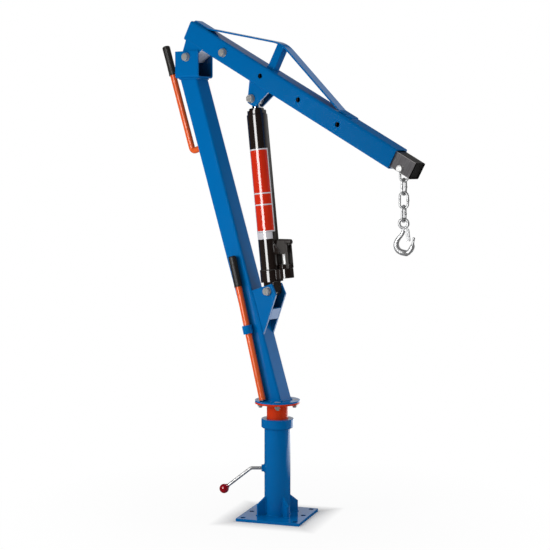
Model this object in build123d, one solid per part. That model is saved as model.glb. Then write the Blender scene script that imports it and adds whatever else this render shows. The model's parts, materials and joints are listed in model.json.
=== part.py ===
from build123d import *
import os
from math import asin, atan2, cos, degrees, hypot, radians, sin, tan

# Bolt-down slewing crane: pedestal, leaning mast, luffing boom with a sliding inner boom,
# chain and hook, and a hand-pumped jack between mast and boom.
# Millimetres, +Z up along the slewing axis, +X along the boom, origin under the base plate.

# Clearances shared by all fits
running_gap = 0.05
hole_gap = 0.5
face_gap = 0.3
seat_gap = 0.02
side_gap = 1.0

# Pedestal
plate_side = 225.0
plate_thick = 10.0
plate_turn = 17.0
plate_hole_d = 17.0
plate_hole_inset = 20.0
plate_corner_r = 3.0
column_d = 88.9
column_wall = 5.0
pedestal_h = 340.0
collar_wall = 10.55
collar_h = 31.0
collar_chamfer = 3.0
gusset_reach = 33.0
gusset_h = 65.0
gusset_lip = 38.0
gusset_thick = 8.0
thrust_disc_z = 80.0
thrust_disc_thick = 10.0
thrust_washer_thick = 5.0
bush_wall = 2.9
bush_len = 40.0
lower_bush_z = 105.0

# Slewing lock
lock_z = 168.0
lock_turn = 216.0
lock_boss_d = 24.0
lock_boss_len = 10.0
lock_rod_d = 11.0
lock_bend_out = 46.0
lock_arm_out = 92.0
lock_arm_drop = 71.0
lock_bend_r = 16.0
lock_ball_d = 32.0
lock_ball_depth = 12.0

# Slewing pivot and flanges
pivot_tube_wall = 6.0
flange_top = 404.0
flange_d = 154.0
flange_thick = 6.0
flange_bolt_inset = 19.0
flange_bolt_turn = 35.0
flange_bolt_d = 12.0
flange_bolt_count = 4
flange_bolt_head_d = 22.0

# Mast
mast_w = 70.0
mast_wall = 5.0
tube_corner_r = 8.0
mast_lean = 18.0
mast_rise = 1096.0
head_overhang = 13.7
head_wall = 6.0
head_bend_r = 11.0
pivot_above_mast = 72.0
ear_above_pivot = 21.0
cheek_inset = 3.0
cheek_thick = 8.0
cheek_top = 379.0
cheek_bottom = 222.0
cheek_nose_top = 120.0
cheek_nose_n = 126.0
cheek_nose_drop = 41.0
foot_pin_up = 359.0
foot_pin_out = 97.0
spacer_from = 0.42
spacer_len = 40.0
spacer_thick = 6.0

# Handles
handle_d = 22.0
lever_wall = 1.5
grip_wall = 3.0
grip_len = 107.0
grip_cap = 5.0
handle_standoff = 49.0
handle_foot_up = 914.0
handle_top_up = 1302.0
handle_bend_r = 13.0
lever_tilt = 3.2
lever_foot_n = -23.0
lever_len = 500.0
clip_up = 254.0
clip_gap = 1.0
clip_wall = 5.0
clip_len = 29.0

# Boom, in its own frame: s along the boom from the pivot, h square to it
boom_drop = 28.35
boom_w = 70.0
boom_wall = 5.0
boom_axis_h = 81.0
boom_tail = 46.0
boom_joint_s = 90.0
boom_end_s = 891.0
lock_hole_s = 132.0
lock_hole_pitch = 175.0
lock_hole_count = 4
lock_hole_d = 17.0
bracket_rear_s = -36.0
bracket_front_s = 48.0
bracket_nose_r = 20.0
bracket_heel_r = 16.0
bracket_heel_s = -12.0
bracket_cheek = 8.0
bracket_web = 6.0
sleeve_d = 30.0
ram_pin_s = 304.0
ram_pin_h = -5.0
ear_inset = 10.0
ear_thick = 6.0
ear_rear_s = 264.0
ear_heel_s = 295.0
ear_toe_s = 329.0
ear_front_s = 362.0
ear_below = 19.0
ear_corner_r = 7.0
strap_w = 40.0
strap_thick = 6.0
strap_start_s = -40.0
strap_rise_s = 22.0
strap_peak_s = 322.0
strap_peak_h = 209.0
strap_land_s = 633.0
strap_end_s = 688.0
strap_bend_r = 110.0
strap_foot_r = 30.0
strut_w = 30.0
strut_wall = 3.0

# Inner boom
slide_gap = 2.0
inner_wall = 5.0
inner_corner_r = 4.0
inner_tail_s = 100.0
inner_end_s = 973.0
end_cap_face = 4.0
end_cap_plug = 8.0
pad_len = 60.0
pad_w = 30.0
chain_pin_d = 12.0
chain_pin_s = 926.0
chain_pin_h = 66.0
chain_pin_head_d = 22.0
chain_pin_head_h = 7.0
chain_slot_gap = 4.25
chain_slot_back = 34.0
chain_slot_front = 32.0

# Chain and hook
link_wire_d = 7.5
link_inner_len = 43.0
link_inner_w = 19.0
link_turns = (8.0, 93.0, 17.0, 97.0)
hook_turn = 20.0
hook_eye_r = 14.2
hook_eye_wire = 9.2
hook_bowl_r = 26.5
hook_bowl_x = 3.0
hook_bowl_drop = 67.0
hook_neck_d = 12.0
hook_back_d = 20.0
hook_side_d = 11.5
hook_tip_d = 8.2
hook_tip_out = 3.3
hook_tip_up = 20.0
hook_tip_lean = 168.0
hook_flat = 0.87
latch_lean = 7.0
latch_len = 40.0
latch_w = 12.0
latch_depth = 11.0
latch_sheet = 1.6
latch_pin_d = 4.0
latch_pin_x = 12.0
latch_pin_drop = 22.0

# Jack
jack_d = 70.0
jack_wall = 4.0
jack_bottom = 70.0
jack_top = 600.0
base_collar_lip = 3.0
base_collar_bottom = 30.0
foot_eye_r = 20.0
gland_step = 3.0
gland_h = 12.0
gland_cap_d = 51.0
gland_cap_h = 8.0
ram_d = 28.0
piston_d = 40.0
piston_h = 30.0
piston_up = 150.0
pressure_tube_wall = 5.0
ram_eye_r = 22.0
pump_base_z = 38.0
pump_barrel_top = 86.0
pump_barrel_wall = 4.0
pump_base_lip = 2.0
pump_well = 18.0
plunger_d = 38.0
plunger_top = 118.0
tongue_thick = 11.0
tongue_r = 8.0
fulcrum_out = 9.5
fulcrum_z = 130.0
fulcrum_r = 8.0
pump_throw = 18.0
pump_swing = 30.0
pump_pin_d = 8.0
knuckle_r = 14.0
stub_z = 164.0
stub_out = 7.0
stub_len = 53.0
stub_droop = 6.0
stub_gap = 0.2
knuckle_cheek = 5.0
lug_thick = 5.0
lug_h = 42.0
valve_d = 12.0
valve_z = 56.0
valve_back = 27.0
valve_len = 16.0
valve_slot = 3.0

# Bolts
m16 = 16.0
m16_flats = 24.0
m16_head_h = 10.0
m16_nut_h = 13.0
m16_washer_d = 30.0
m16_washer_h = 3.0
m12_flats = 18.0
m12_nut_h = 10.5
bolt_tail = 5.0

# Derived places
plate_hole_at = plate_side / 2 - plate_hole_inset
column_bore = column_d - 2 * column_wall
collar_d = column_d + 2 * collar_wall
pivot_tube_d = column_bore - 2 * bush_wall - 2 * running_gap
flange_bolt_r = flange_d / 2 - flange_bolt_inset
bearing_z = thrust_disc_z + thrust_disc_thick + thrust_washer_thick + running_gap
pivot_flange_top = flange_top - flange_thick
mast_top_z = flange_top + mast_rise
boom_pivot = Vector(-mast_rise * tan(radians(mast_lean)), 0, mast_top_z + pivot_above_mast)
head_w = boom_w + 2 * side_gap + 2 * head_wall
head_len = mast_w / cos(radians(mast_lean)) + 2 * head_overhang
cheek_spread = mast_w - 2 * cheek_inset
ear_spread = boom_w - 2 * ear_inset
grip_d = handle_d + 2 * grip_wall
clip_bore = handle_d + 2 * clip_gap
clip_d = clip_bore + 2 * clip_wall
inner_w = boom_w - 2 * boom_wall - 2 * slide_gap
pad_thick = slide_gap - face_gap
chain_slot_w = link_wire_d + 2 * chain_slot_gap
base_collar_d = jack_d + 2 * base_collar_lip
gland_d = jack_d - 2 * gland_step
pump_barrel_d = plunger_d + 2 * pump_barrel_wall
pump_base_d = pump_barrel_d + 2 * pump_base_lip
pump_block_w = pump_base_d * 0.8
lever_y = -(mast_w / 2 + clip_d / 2 + face_gap)

mast_frame = Plane(
    origin=(0, 0, flange_top),
    x_dir=(cos(radians(mast_lean)), 0, sin(radians(mast_lean))),
    z_dir=(-sin(radians(mast_lean)), 0, cos(radians(mast_lean))),
)
boom_frame = Plane(
    origin=boom_pivot,
    x_dir=(cos(radians(boom_drop)), 0, -sin(radians(boom_drop))),
    z_dir=(sin(radians(boom_drop)), 0, cos(radians(boom_drop))),
)
foot_pin = mast_frame.from_local_coords(Vector(foot_pin_out, 0, foot_pin_up))
ram_pin = boom_frame.from_local_coords(Vector(ram_pin_s, 0, ram_pin_h))
jack_line = ram_pin - foot_pin
jack_len = jack_line.length
jack_frame = Plane(origin=foot_pin, x_dir=(jack_line.Z, 0, -jack_line.X), z_dir=jack_line)
chain_pin = boom_frame.from_local_coords(Vector(chain_pin_s, 0, chain_pin_h))
boom_under_h = boom_axis_h - boom_w / 2
boom_over_h = boom_axis_h + boom_w / 2
pump_half_swing = radians(pump_swing / 2)
pump_stroke = 2 * pump_throw * sin(pump_half_swing)
fulcrum_x = jack_d / 2 + fulcrum_out
stub_from = jack_d / 2 + stub_out
pump_x = fulcrum_x + pump_throw * cos(pump_half_swing)
pump_drive_z = fulcrum_z + pump_stroke / 2
well_bottom = jack_bottom - pump_well

pieces = {}


def on(frame, shape):
    """Place a shape drawn in a frame's own axes."""
    return frame.location * shape


def plate_xz(outline, thick, y=0.0):
    """Plate of the given outline in X and Z, centred on y."""
    return Pos(0, y, 0) * extrude(Plane.XZ * outline, amount=thick / 2, both=True)


def pair_y(solid):
    """A solid and its mirror image across the crane's middle plane."""
    return Part() + [solid, mirror(solid, about=Plane.XZ)]


def rod_z(d, z0, z1):
    """Round bar along Z from z0 to z1."""
    return Pos(0, 0, (z0 + z1) / 2) * Cylinder(d / 2, z1 - z0)


def ring_z(d_out, d_in, z0, z1):
    """Round ring along Z from z0 to z1."""
    return rod_z(d_out, z0, z1) - rod_z(d_in, z0 - 1, z1 + 1)


def rod_y(d, y0, y1):
    """Round bar along Y from y0 to y1."""
    return Pos(0, (y0 + y1) / 2, 0) * Rot(90, 0, 0) * Cylinder(d / 2, y1 - y0)


def square_tube(width, wall, corner_r, z0, z1):
    """Square hollow section along Z with rounded corners."""
    inner_r = max(corner_r - wall, 1.0)
    section = RectangleRounded(width, width, corner_r)
    section -= RectangleRounded(width - 2 * wall, width - 2 * wall, inner_r)
    return Pos(0, 0, z0) * extrude(section, amount=z1 - z0)


def square_bar(width, corner_r, z0, z1):
    """Solid of a square section's outer shape along Z."""
    return Pos(0, 0, z0) * extrude(RectangleRounded(width, width, corner_r), amount=z1 - z0)


def hexagon(flats, height):
    """Hexagon from z=0 up, with its top corners turned off."""
    prism = extrude(RegularPolygon(flats / 2, 6, major_radius=False), amount=height)
    corner_r = flats / 2 / cos(radians(30))
    turned = Pos(0, 0, height / 2) * Cylinder(corner_r, height)
    top = turned.edges().group_by(Axis.Z)[-1]
    return prism & chamfer(top, length=height * 0.16, length2=corner_r - flats / 2 * 0.97)


def bolt(d, flats, head_h, length):
    """Bolt along +Z with its head below z=0."""
    shank = rod_z(d, -head_h / 2, length)
    shank = chamfer(shank.edges().group_by(Axis.Z)[-1], d * 0.08)
    return mirror(hexagon(flats, head_h), about=Plane.XY) + shank


def nut(d, flats, height):
    """Nut standing on z=0."""
    return hexagon(flats, height) - rod_z(d + 2 * running_gap, -1, height + 1)


def across(x, z, shape):
    """Turn a shape drawn along +Z to lie along +Y through (x, z)."""
    return Pos(x, 0, z) * Rot(-90, 0, 0) * shape


def cross_bolt(x, z, half_grip):
    """M16 bolt along +Y, and its nut and washers, clamping plates out to half_grip."""
    seat = half_grip + m16_washer_h
    length = 2 * seat + m16_nut_h + bolt_tail
    shank = across(x, z, Pos(0, 0, -seat) * bolt(m16, m16_flats, m16_head_h, length))
    hex_nut = across(x, z, Pos(0, 0, seat) * nut(m16, m16_flats, m16_nut_h))
    washer = ring_z(m16_washer_d, m16 + 2 * hole_gap, half_grip, seat)
    washers = across(x, z, Part() + [washer, mirror(washer, about=Plane.XY)])
    return shank, Part() + [hex_nut, washers]


def bent_rod(d, points, radius):
    """Round bar along a bent line."""
    path = FilletPolyline(*points, radius=radius)
    start = Plane(origin=path @ 0, z_dir=path % 0)
    return sweep(start * Circle(d / 2), path=path)


def build_pedestal():
    """Base plate, column, gussets, collar, bearings and lock boss."""
    turned = Rot(0, 0, plate_turn)
    plate = Pos(0, 0, plate_thick / 2) * Box(plate_side, plate_side, plate_thick)
    plate = fillet(plate.edges().filter_by(Axis.Z), plate_corner_r)
    for x in (-plate_hole_at, plate_hole_at):
        for y in (-plate_hole_at, 0, plate_hole_at):
            plate -= Pos(x, y, 0) * rod_z(plate_hole_d, -1, plate_thick + 1)
    pieces["base_plate"] = turned * plate

    lock_way = Rot(0, 0, lock_turn) * Pos(0, 0, lock_z) * Rot(0, 90, 0)
    tube = ring_z(column_d, column_bore, plate_thick, pedestal_h)
    tube -= lock_way * rod_z(lock_rod_d + 2 * hole_gap, 0, column_d)
    pieces["pedestal_tube"] = tube

    collar = rod_z(collar_d, pedestal_h - collar_h, pedestal_h)
    collar = chamfer(collar.edges().group_by(Axis.Z)[0], collar_chamfer)
    collar = fillet(collar.edges().group_by(Axis.Z)[-1], collar_chamfer / 2)
    pieces["collar"] = collar - rod_z(column_d + 2 * seat_gap, 0, pedestal_h + 1)

    tube_r = column_d / 2
    outer_r = tube_r + gusset_reach
    outline = Polygon(
        (tube_r - column_wall, plate_thick),
        (outer_r, plate_thick),
        (outer_r, plate_thick + gusset_lip),
        (tube_r, plate_thick + gusset_h),
        (tube_r - column_wall, plate_thick + gusset_h),
        align=None,
    )
    gusset = plate_xz(outline, gusset_thick) - rod_z(column_d + 2 * seat_gap, 0, pedestal_h)
    pieces["gussets"] = Part() + [Rot(0, 0, plate_turn + 45 + 90 * k) * gusset for k in range(4)]

    bush = ring_z(column_bore - 2 * seat_gap, pivot_tube_d + 2 * running_gap, 0, bush_len)
    upper = Pos(0, 0, pedestal_h - bush_len) * bush
    pieces["slew_bushes"] = Part() + [upper, Pos(0, 0, lower_bush_z) * bush]
    disc_top = thrust_disc_z + thrust_disc_thick
    pieces["thrust_disc"] = rod_z(column_bore - 2 * seat_gap, thrust_disc_z, disc_top)
    washer_d = column_bore - 2 * hole_gap
    pieces["thrust_washer"] = ring_z(washer_d, washer_d / 2, disc_top, disc_top + thrust_washer_thick)

    boss = rod_z(lock_boss_d, tube_r - column_wall, tube_r + lock_boss_len)
    boss -= rod_z(lock_rod_d + 2 * running_gap, 0, tube_r + lock_boss_len + 1)
    pieces["lock_boss"] = lock_way * boss - rod_z(column_d + 2 * seat_gap, 0, pedestal_h)


def build_lock():
    """Bent locking screw with its ball knob, at the side of the column."""
    tip = pivot_tube_d / 2 + face_gap
    bend = column_d / 2 + lock_bend_out
    arm = hypot(lock_arm_out, lock_arm_drop)
    away = Vector(lock_arm_out / arm, 0, -lock_arm_drop / arm)
    ball_at = Vector(bend, 0, lock_z) + away * arm
    rod_end = ball_at - away * (lock_ball_d / 2 - lock_ball_depth)
    corners = [(tip, 0, lock_z), (bend, 0, lock_z), rod_end]
    turned = Rot(0, 0, lock_turn)
    pieces["lock_screw"] = turned * bent_rod(lock_rod_d, corners, lock_bend_r)
    hole = Plane(origin=rod_end + away * seat_gap, z_dir=-away)
    ball = Pos(*ball_at) * Sphere(lock_ball_d / 2)
    ball -= on(hole, rod_z(lock_rod_d + 2 * seat_gap, 0, lock_ball_d))
    pieces["lock_knob"] = turned * ball


def build_pivot():
    """Slewing pivot tube, the two flanges and their bolts."""
    pieces["pivot_tube"] = ring_z(
        pivot_tube_d, pivot_tube_d - 2 * pivot_tube_wall, bearing_z, pivot_flange_top
    )
    spots = [
        Rot(0, 0, flange_bolt_turn + 360 / flange_bolt_count * k) * Pos(flange_bolt_r, 0, 0)
        for k in range(flange_bolt_count)
    ]
    under = pivot_flange_top - flange_thick
    lower = ring_z(flange_d, pivot_tube_d + 2 * seat_gap, under, pivot_flange_top)
    upper = rod_z(flange_d, pivot_flange_top, flange_top)
    head_h = flange_thick - side_gap
    sink = Pos(0, 0, flange_top - head_h / 2) * Cone(flange_bolt_d / 2, flange_bolt_head_d / 2, head_h)
    way = rod_z(flange_bolt_d + 2 * hole_gap, under - 1, flange_top + 1)
    for spot in spots:
        lower -= spot * way
        upper -= spot * (way + sink)
    pieces["pivot_flange"] = lower
    pieces["mast_flange"] = upper
    screw = sink & rod_z(2 * flange_bolt_head_d, flange_top - head_h, flange_top)
    screw += rod_z(flange_bolt_d, under - m12_nut_h - bolt_tail, flange_top)
    screw = chamfer(screw.edges().group_by(Axis.Z)[0], flange_bolt_d * 0.08)
    one_nut = Pos(0, 0, under) * Rot(180, 0, 0) * nut(flange_bolt_d, m12_flats, m12_nut_h)
    pieces["flange_screws"] = Part() + [spot * screw for spot in spots]
    pieces["flange_nuts"] = Part() + [spot * one_nut for spot in spots]


def build_mast():
    """Mast tube, its forked head, the jack cheeks and the cross bolts."""
    reach = mast_rise / cos(radians(mast_lean)) + mast_w
    level = Pos(0, 0, flange_top + mast_rise / 2) * Box(3 * reach, 2 * mast_w, mast_rise)
    tube = on(mast_frame, square_tube(mast_w, mast_wall, tube_corner_r, -mast_w, reach))
    pieces["mast_tube"] = tube & level
    mast_solid = on(mast_frame, square_bar(mast_w + 2 * seat_gap, tube_corner_r, -mast_w, reach))

    ear_top = pivot_above_mast + ear_above_pivot
    outside = Pos(0, 0, ear_top) * Box(head_len, head_w, 2 * ear_top)
    low_edges = outside.edges().filter_by(Axis.X).group_by(Axis.Z)[0]
    outside = fillet(low_edges, head_bend_r)
    inside = Pos(0, 0, head_wall + ear_top) * Box(head_len + 2, head_w - 2 * head_wall, 2 * ear_top)
    low_edges = inside.edges().filter_by(Axis.X).group_by(Axis.Z)[0]
    inside = fillet(low_edges, head_bend_r - head_wall)
    head = (outside - inside) & (Pos(0, 0, ear_top / 2) * Box(2 * head_len, 2 * head_w, ear_top))
    head -= Pos(0, 0, pivot_above_mast) * rod_y(m16 + 2 * hole_gap, -head_w, head_w)
    pieces["mast_head"] = Pos(boom_pivot.X, 0, mast_top_z) * head

    cheek = Polygon(
        (mast_w / 2 - tube_corner_r, cheek_bottom - tube_corner_r),
        (cheek_nose_n, cheek_top - cheek_nose_drop),
        (cheek_nose_top, cheek_top),
        (mast_w / 2 - tube_corner_r, cheek_top),
        align=None,
    )
    cheek_y = cheek_spread / 2 - cheek_thick / 2
    near = plate_xz(cheek, cheek_thick, -cheek_y)
    near -= Pos(foot_pin_out, 0, foot_pin_up) * rod_y(m16 + 2 * hole_gap, -cheek_spread, cheek_spread)
    pieces["jack_cheeks"] = on(mast_frame, pair_y(near)) - mast_solid

    low = Vector(mast_w / 2 - tube_corner_r, 0, cheek_bottom - tube_corner_r)
    slope = Vector(cheek_nose_n, 0, cheek_top - cheek_nose_drop) - low
    spacer_at = Plane(origin=low + slope * spacer_from, x_dir=slope, z_dir=Vector(-slope.Z, 0, slope.X))
    gap = cheek_spread - 2 * cheek_thick - 2 * seat_gap
    spacer = Box(spacer_len, gap, spacer_thick, align=(Align.MIN, Align.CENTER, Align.MIN))
    pieces["cheek_spacer"] = on(mast_frame, on(spacer_at, spacer))

    pivot_shank, pivot_nut = cross_bolt(boom_pivot.X, boom_pivot.Z, head_w / 2)
    foot_shank, foot_nut = cross_bolt(foot_pin.X, foot_pin.Z, cheek_spread / 2)
    pieces["pivot_bolt"] = pivot_shank
    pieces["foot_bolt"] = foot_shank
    pieces["mast_nuts"] = Part() + [pivot_nut, foot_nut]


def grip(z0, z1):
    """Moulded grip closed over a handle's end, from z0 to its cap at z1."""
    body = rod_z(grip_d, z0, z1)
    body = fillet(body.edges().group_by(Axis.Z)[-1], grip_cap * 0.9)
    body = fillet(body.edges().group_by(Axis.Z)[0], 1.5)
    return body - rod_z(handle_d + 2 * seat_gap, z0 - 1, z1 - grip_cap)


def build_handles():
    """Fixed slewing handle, and the loose pump lever in its clip."""
    back = -mast_w / 2 - seat_gap
    out = -mast_w / 2 - handle_standoff
    bar_top = handle_top_up - grip_cap - seat_gap
    corners = [(back, 0, handle_foot_up), (out, 0, handle_foot_up), (out, 0, bar_top)]
    pieces["slew_handle"] = on(mast_frame, bent_rod(handle_d, corners, handle_bend_r))
    slew_grip = Pos(out, 0, 0) * grip(handle_top_up - grip_len, handle_top_up)
    pieces["slew_grip"] = on(mast_frame, slew_grip)

    foot_up = -lever_foot_n * tan(radians(mast_lean))
    foot_up += handle_d / 2 * tan(radians(mast_lean - lever_tilt)) + face_gap
    lever_frame = Pos(lever_foot_n, lever_y, foot_up) * Rot(0, lever_tilt, 0)
    tube_len = lever_len - grip_cap - seat_gap
    tube = ring_z(handle_d, handle_d - 2 * lever_wall, 0, tube_len)
    pieces["pump_lever"] = on(mast_frame, lever_frame * tube)
    pieces["lever_grip"] = on(mast_frame, lever_frame * grip(lever_len - grip_len, lever_len))
    clip_from = clip_up - foot_up - clip_len / 2
    clip = ring_z(clip_d, clip_bore, clip_from, clip_from + clip_len)
    pieces["handle_clip"] = on(mast_frame, lever_frame * clip)


def along_boom(shape):
    """Turn a shape drawn along +Z to run along the boom's axis."""
    return on(boom_frame, Pos(0, 0, boom_axis_h) * Rot(0, 90, 0) * shape)


def build_boom():
    """Boom tube in two lengths, pivot bracket, jack bracket, stay strap and bolts."""
    rear_end_s = boom_joint_s - seat_gap
    pieces["boom_rear_tube"] = along_boom(square_tube(boom_w, boom_wall, tube_corner_r, -boom_tail, rear_end_s))
    tube = along_boom(square_tube(boom_w, boom_wall, tube_corner_r, boom_joint_s, boom_end_s))
    for k in range(lock_hole_count):
        s = lock_hole_s + k * lock_hole_pitch
        tube -= on(boom_frame, Pos(s, 0, boom_axis_h) * rod_y(lock_hole_d, -boom_w, boom_w))
    pieces["boom_tube"] = tube
    boom_solid = along_boom(square_bar(boom_w + 2 * seat_gap, tube_corner_r, -2 * boom_tail, boom_end_s))

    top_h = boom_under_h + tube_corner_r + 2
    corners = Polygon((bracket_rear_s, top_h), (bracket_front_s, top_h), (0, 0), align=None)
    heel = Pos(bracket_heel_s, 0) * Circle(bracket_heel_r)
    outline = make_hull((corners + heel + Circle(bracket_nose_r)).edges())
    front = Vector(bracket_front_s, 0, top_h)
    lead = degrees(asin(bracket_nose_r / front.length))
    climb = degrees(atan2(top_h, bracket_front_s)) + lead
    web_in = Rot(0, 0, climb) * Pos(0, -bracket_nose_r + bracket_web)
    pocket = outline & web_in * Rectangle(400, 200, align=(Align.CENTER, Align.MIN))
    bracket = plate_xz(outline, boom_w)
    bracket -= plate_xz(pocket, boom_w - 2 * bracket_cheek)
    bracket -= rod_y(sleeve_d + 2 * seat_gap, -boom_w, boom_w)
    pieces["pivot_bracket"] = on(boom_frame, bracket) - boom_solid
    half = boom_w / 2 + side_gap / 2
    sleeve = rod_y(sleeve_d, -half, half) - rod_y(m16 + 2 * running_gap, -boom_w, boom_w)
    pieces["pivot_sleeve"] = on(boom_frame, sleeve)

    low_h = ram_pin_h - ear_below
    ear = Polygon(
        (ear_rear_s, top_h), (ear_heel_s, low_h), (ear_toe_s, low_h), (ear_front_s, top_h), align=None
    )
    ear = fillet(ear.vertices().group_by(Axis.Y)[0], ear_corner_r)
    near = plate_xz(ear, ear_thick, -(ear_spread - ear_thick) / 2)
    near -= Pos(ram_pin_s, 0, ram_pin_h) * rod_y(m16 + 2 * hole_gap, -ear_spread, ear_spread)
    pieces["jack_bracket"] = on(boom_frame, pair_y(near)) - boom_solid

    shank, ram_nut = cross_bolt(ram_pin_s, ram_pin_h, ear_spread / 2)
    inner_y = ear_spread / 2 - ear_thick
    clear = Pos(ram_pin_s, 0, ram_pin_h) * rod_y(4 * m16, -inner_y, inner_y)
    pieces["ram_bolt"] = on(boom_frame, shank - clear)
    lock_shank, lock_nut = cross_bolt(lock_hole_s, boom_axis_h, boom_w / 2)
    pieces["lock_bolt"] = on(boom_frame, lock_shank)
    pieces["boom_nuts"] = on(boom_frame, Part() + [ram_nut, lock_nut])

    mid_h = boom_over_h + strap_thick / 2 + seat_gap
    path = FilletPolyline(
        (strap_start_s, 0, mid_h),
        (strap_rise_s, 0, mid_h),
        (strap_peak_s, 0, strap_peak_h),
        (strap_land_s, 0, mid_h),
        (strap_end_s, 0, mid_h),
        radius=[strap_foot_r, strap_bend_r, strap_foot_r],
    )
    start = Plane(origin=path @ 0, x_dir=(0, 1, 0), z_dir=path % 0)
    pieces["stay_strap"] = on(boom_frame, sweep(start * Rectangle(strap_w, strap_thick), path=path))

    rise = atan2(strap_peak_h - mid_h, strap_peak_s - strap_rise_s)
    fall = atan2(strap_peak_h - mid_h, strap_land_s - strap_peak_s)
    crown_h = strap_peak_h - strap_bend_r * (1 / cos((rise + fall) / 2) - 1)
    round_off = (strut_w / 2) ** 2 / (2 * (strap_bend_r - strap_thick / 2))
    strut_top = crown_h - strap_thick / 2 - round_off - face_gap
    strut = square_tube(strut_w, strut_wall, strut_wall, boom_over_h + seat_gap, strut_top)
    pieces["stay_strut"] = on(boom_frame, Pos(strap_peak_s, 0, 0) * strut)

    pad_at = boom_w / 2 - boom_wall - seat_gap - pad_thick / 2
    pad = Pos(0, pad_at, boom_end_s - pad_len / 2) * Box(pad_w, pad_thick - seat_gap, pad_len)
    pieces["mouth_pads"] = along_boom(Part() + [Rot(0, 0, 90 * k) * pad for k in range(4)])


def build_inner_boom():
    """Sliding inner boom with its tail pads, end cap and chain pin."""
    tube_end = inner_end_s - end_cap_face
    tube = along_boom(square_tube(inner_w, inner_wall, inner_corner_r, inner_tail_s, tube_end))
    slot_len = lock_hole_s - inner_tail_s + lock_hole_d
    notch = Pos(lock_hole_s - slot_len / 2, 0, boom_axis_h) * Box(slot_len, 2 * inner_w, lock_hole_d)
    notch += Pos(lock_hole_s, 0, boom_axis_h) * rod_y(lock_hole_d, -inner_w, inner_w)
    tube -= on(boom_frame, notch)
    for k in range(1, lock_hole_count):
        s = lock_hole_s + k * lock_hole_pitch
        tube -= on(boom_frame, Pos(s, 0, boom_axis_h) * rod_y(lock_hole_d, -inner_w, inner_w))
    pin_spot = Pos(chain_pin_s, 0, chain_pin_h)
    tube -= on(boom_frame, pin_spot * rod_y(chain_pin_d + 2 * hole_gap, -inner_w, inner_w))
    slot_mid = (chain_slot_front - chain_slot_back) / 2
    slot = SlotOverall(chain_slot_back + chain_slot_front, chain_slot_w)
    under = boom_axis_h - inner_w / 2
    slot = Pos(chain_pin_s + slot_mid, 0, under - 1) * extrude(slot, amount=inner_wall + 2)
    pieces["inner_boom"] = tube - on(boom_frame, slot)

    pad_at = inner_w / 2 + seat_gap + pad_thick / 2
    pad = Box(pad_w, pad_thick - seat_gap, pad_len)
    over = Pos(0, pad_at, inner_tail_s + pad_len / 2) * pad
    pieces["tail_pads"] = along_boom(Part() + [Rot(0, 0, turn) * over for turn in (90, 270)])

    plug_w = inner_w - 2 * inner_wall - 2 * seat_gap
    plug = square_bar(plug_w, 1.0, tube_end - end_cap_plug, tube_end)
    face = square_bar(inner_w, inner_corner_r, tube_end, inner_end_s)
    face = fillet(face.edges().group_by(Axis.Z)[-1], end_cap_face / 3)
    pieces["end_cap"] = along_boom(plug + face)

    half = inner_w / 2
    head = rod_y(chain_pin_head_d, -half - chain_pin_head_h, -half)
    head = fillet(head.edges().group_by(Axis.Y)[0], chain_pin_head_h * 0.45)
    tail = half + m12_nut_h + bolt_tail
    pin = pin_spot * (head + rod_y(chain_pin_d, -half, tail))
    pin_nut = Pos(0, 0, half) * nut(chain_pin_d, m12_flats, m12_nut_h)
    pin_nut = across(chain_pin_s, chain_pin_h, pin_nut)
    pieces["chain_pin"] = on(boom_frame, Part() + [pin, pin_nut])


def chain_link():
    """One welded oval link standing in X and Z, centred on the origin."""
    mid_w = link_inner_w + link_wire_d
    straight = (link_inner_len + link_wire_d - mid_w) / 2
    wire = Circle(link_wire_d / 2)
    side = Pos(mid_w / 2, 0, 0) * rod_z(link_wire_d, -straight, straight)
    bend = revolve(Plane.XY * Pos(mid_w / 2, 0) * wire, Axis.Y, 180)
    if bend.center().Z < 0:
        bend = mirror(bend, about=Plane.XY)
    top = Pos(0, 0, straight) * bend
    return side + mirror(side, about=Plane.YZ) + top + mirror(top, about=Plane.XY)


def hook_section(x, z, lean, across_d):
    """Oval section of the hook, square to a direction leaning from straight down."""
    run = Vector(sin(radians(lean)), 0, -cos(radians(lean)))
    face = Plane(origin=(x, 0, z), x_dir=(0, 1, 0), z_dir=run)
    return face * Ellipse(across_d * hook_flat / 2, across_d / 2)


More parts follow.
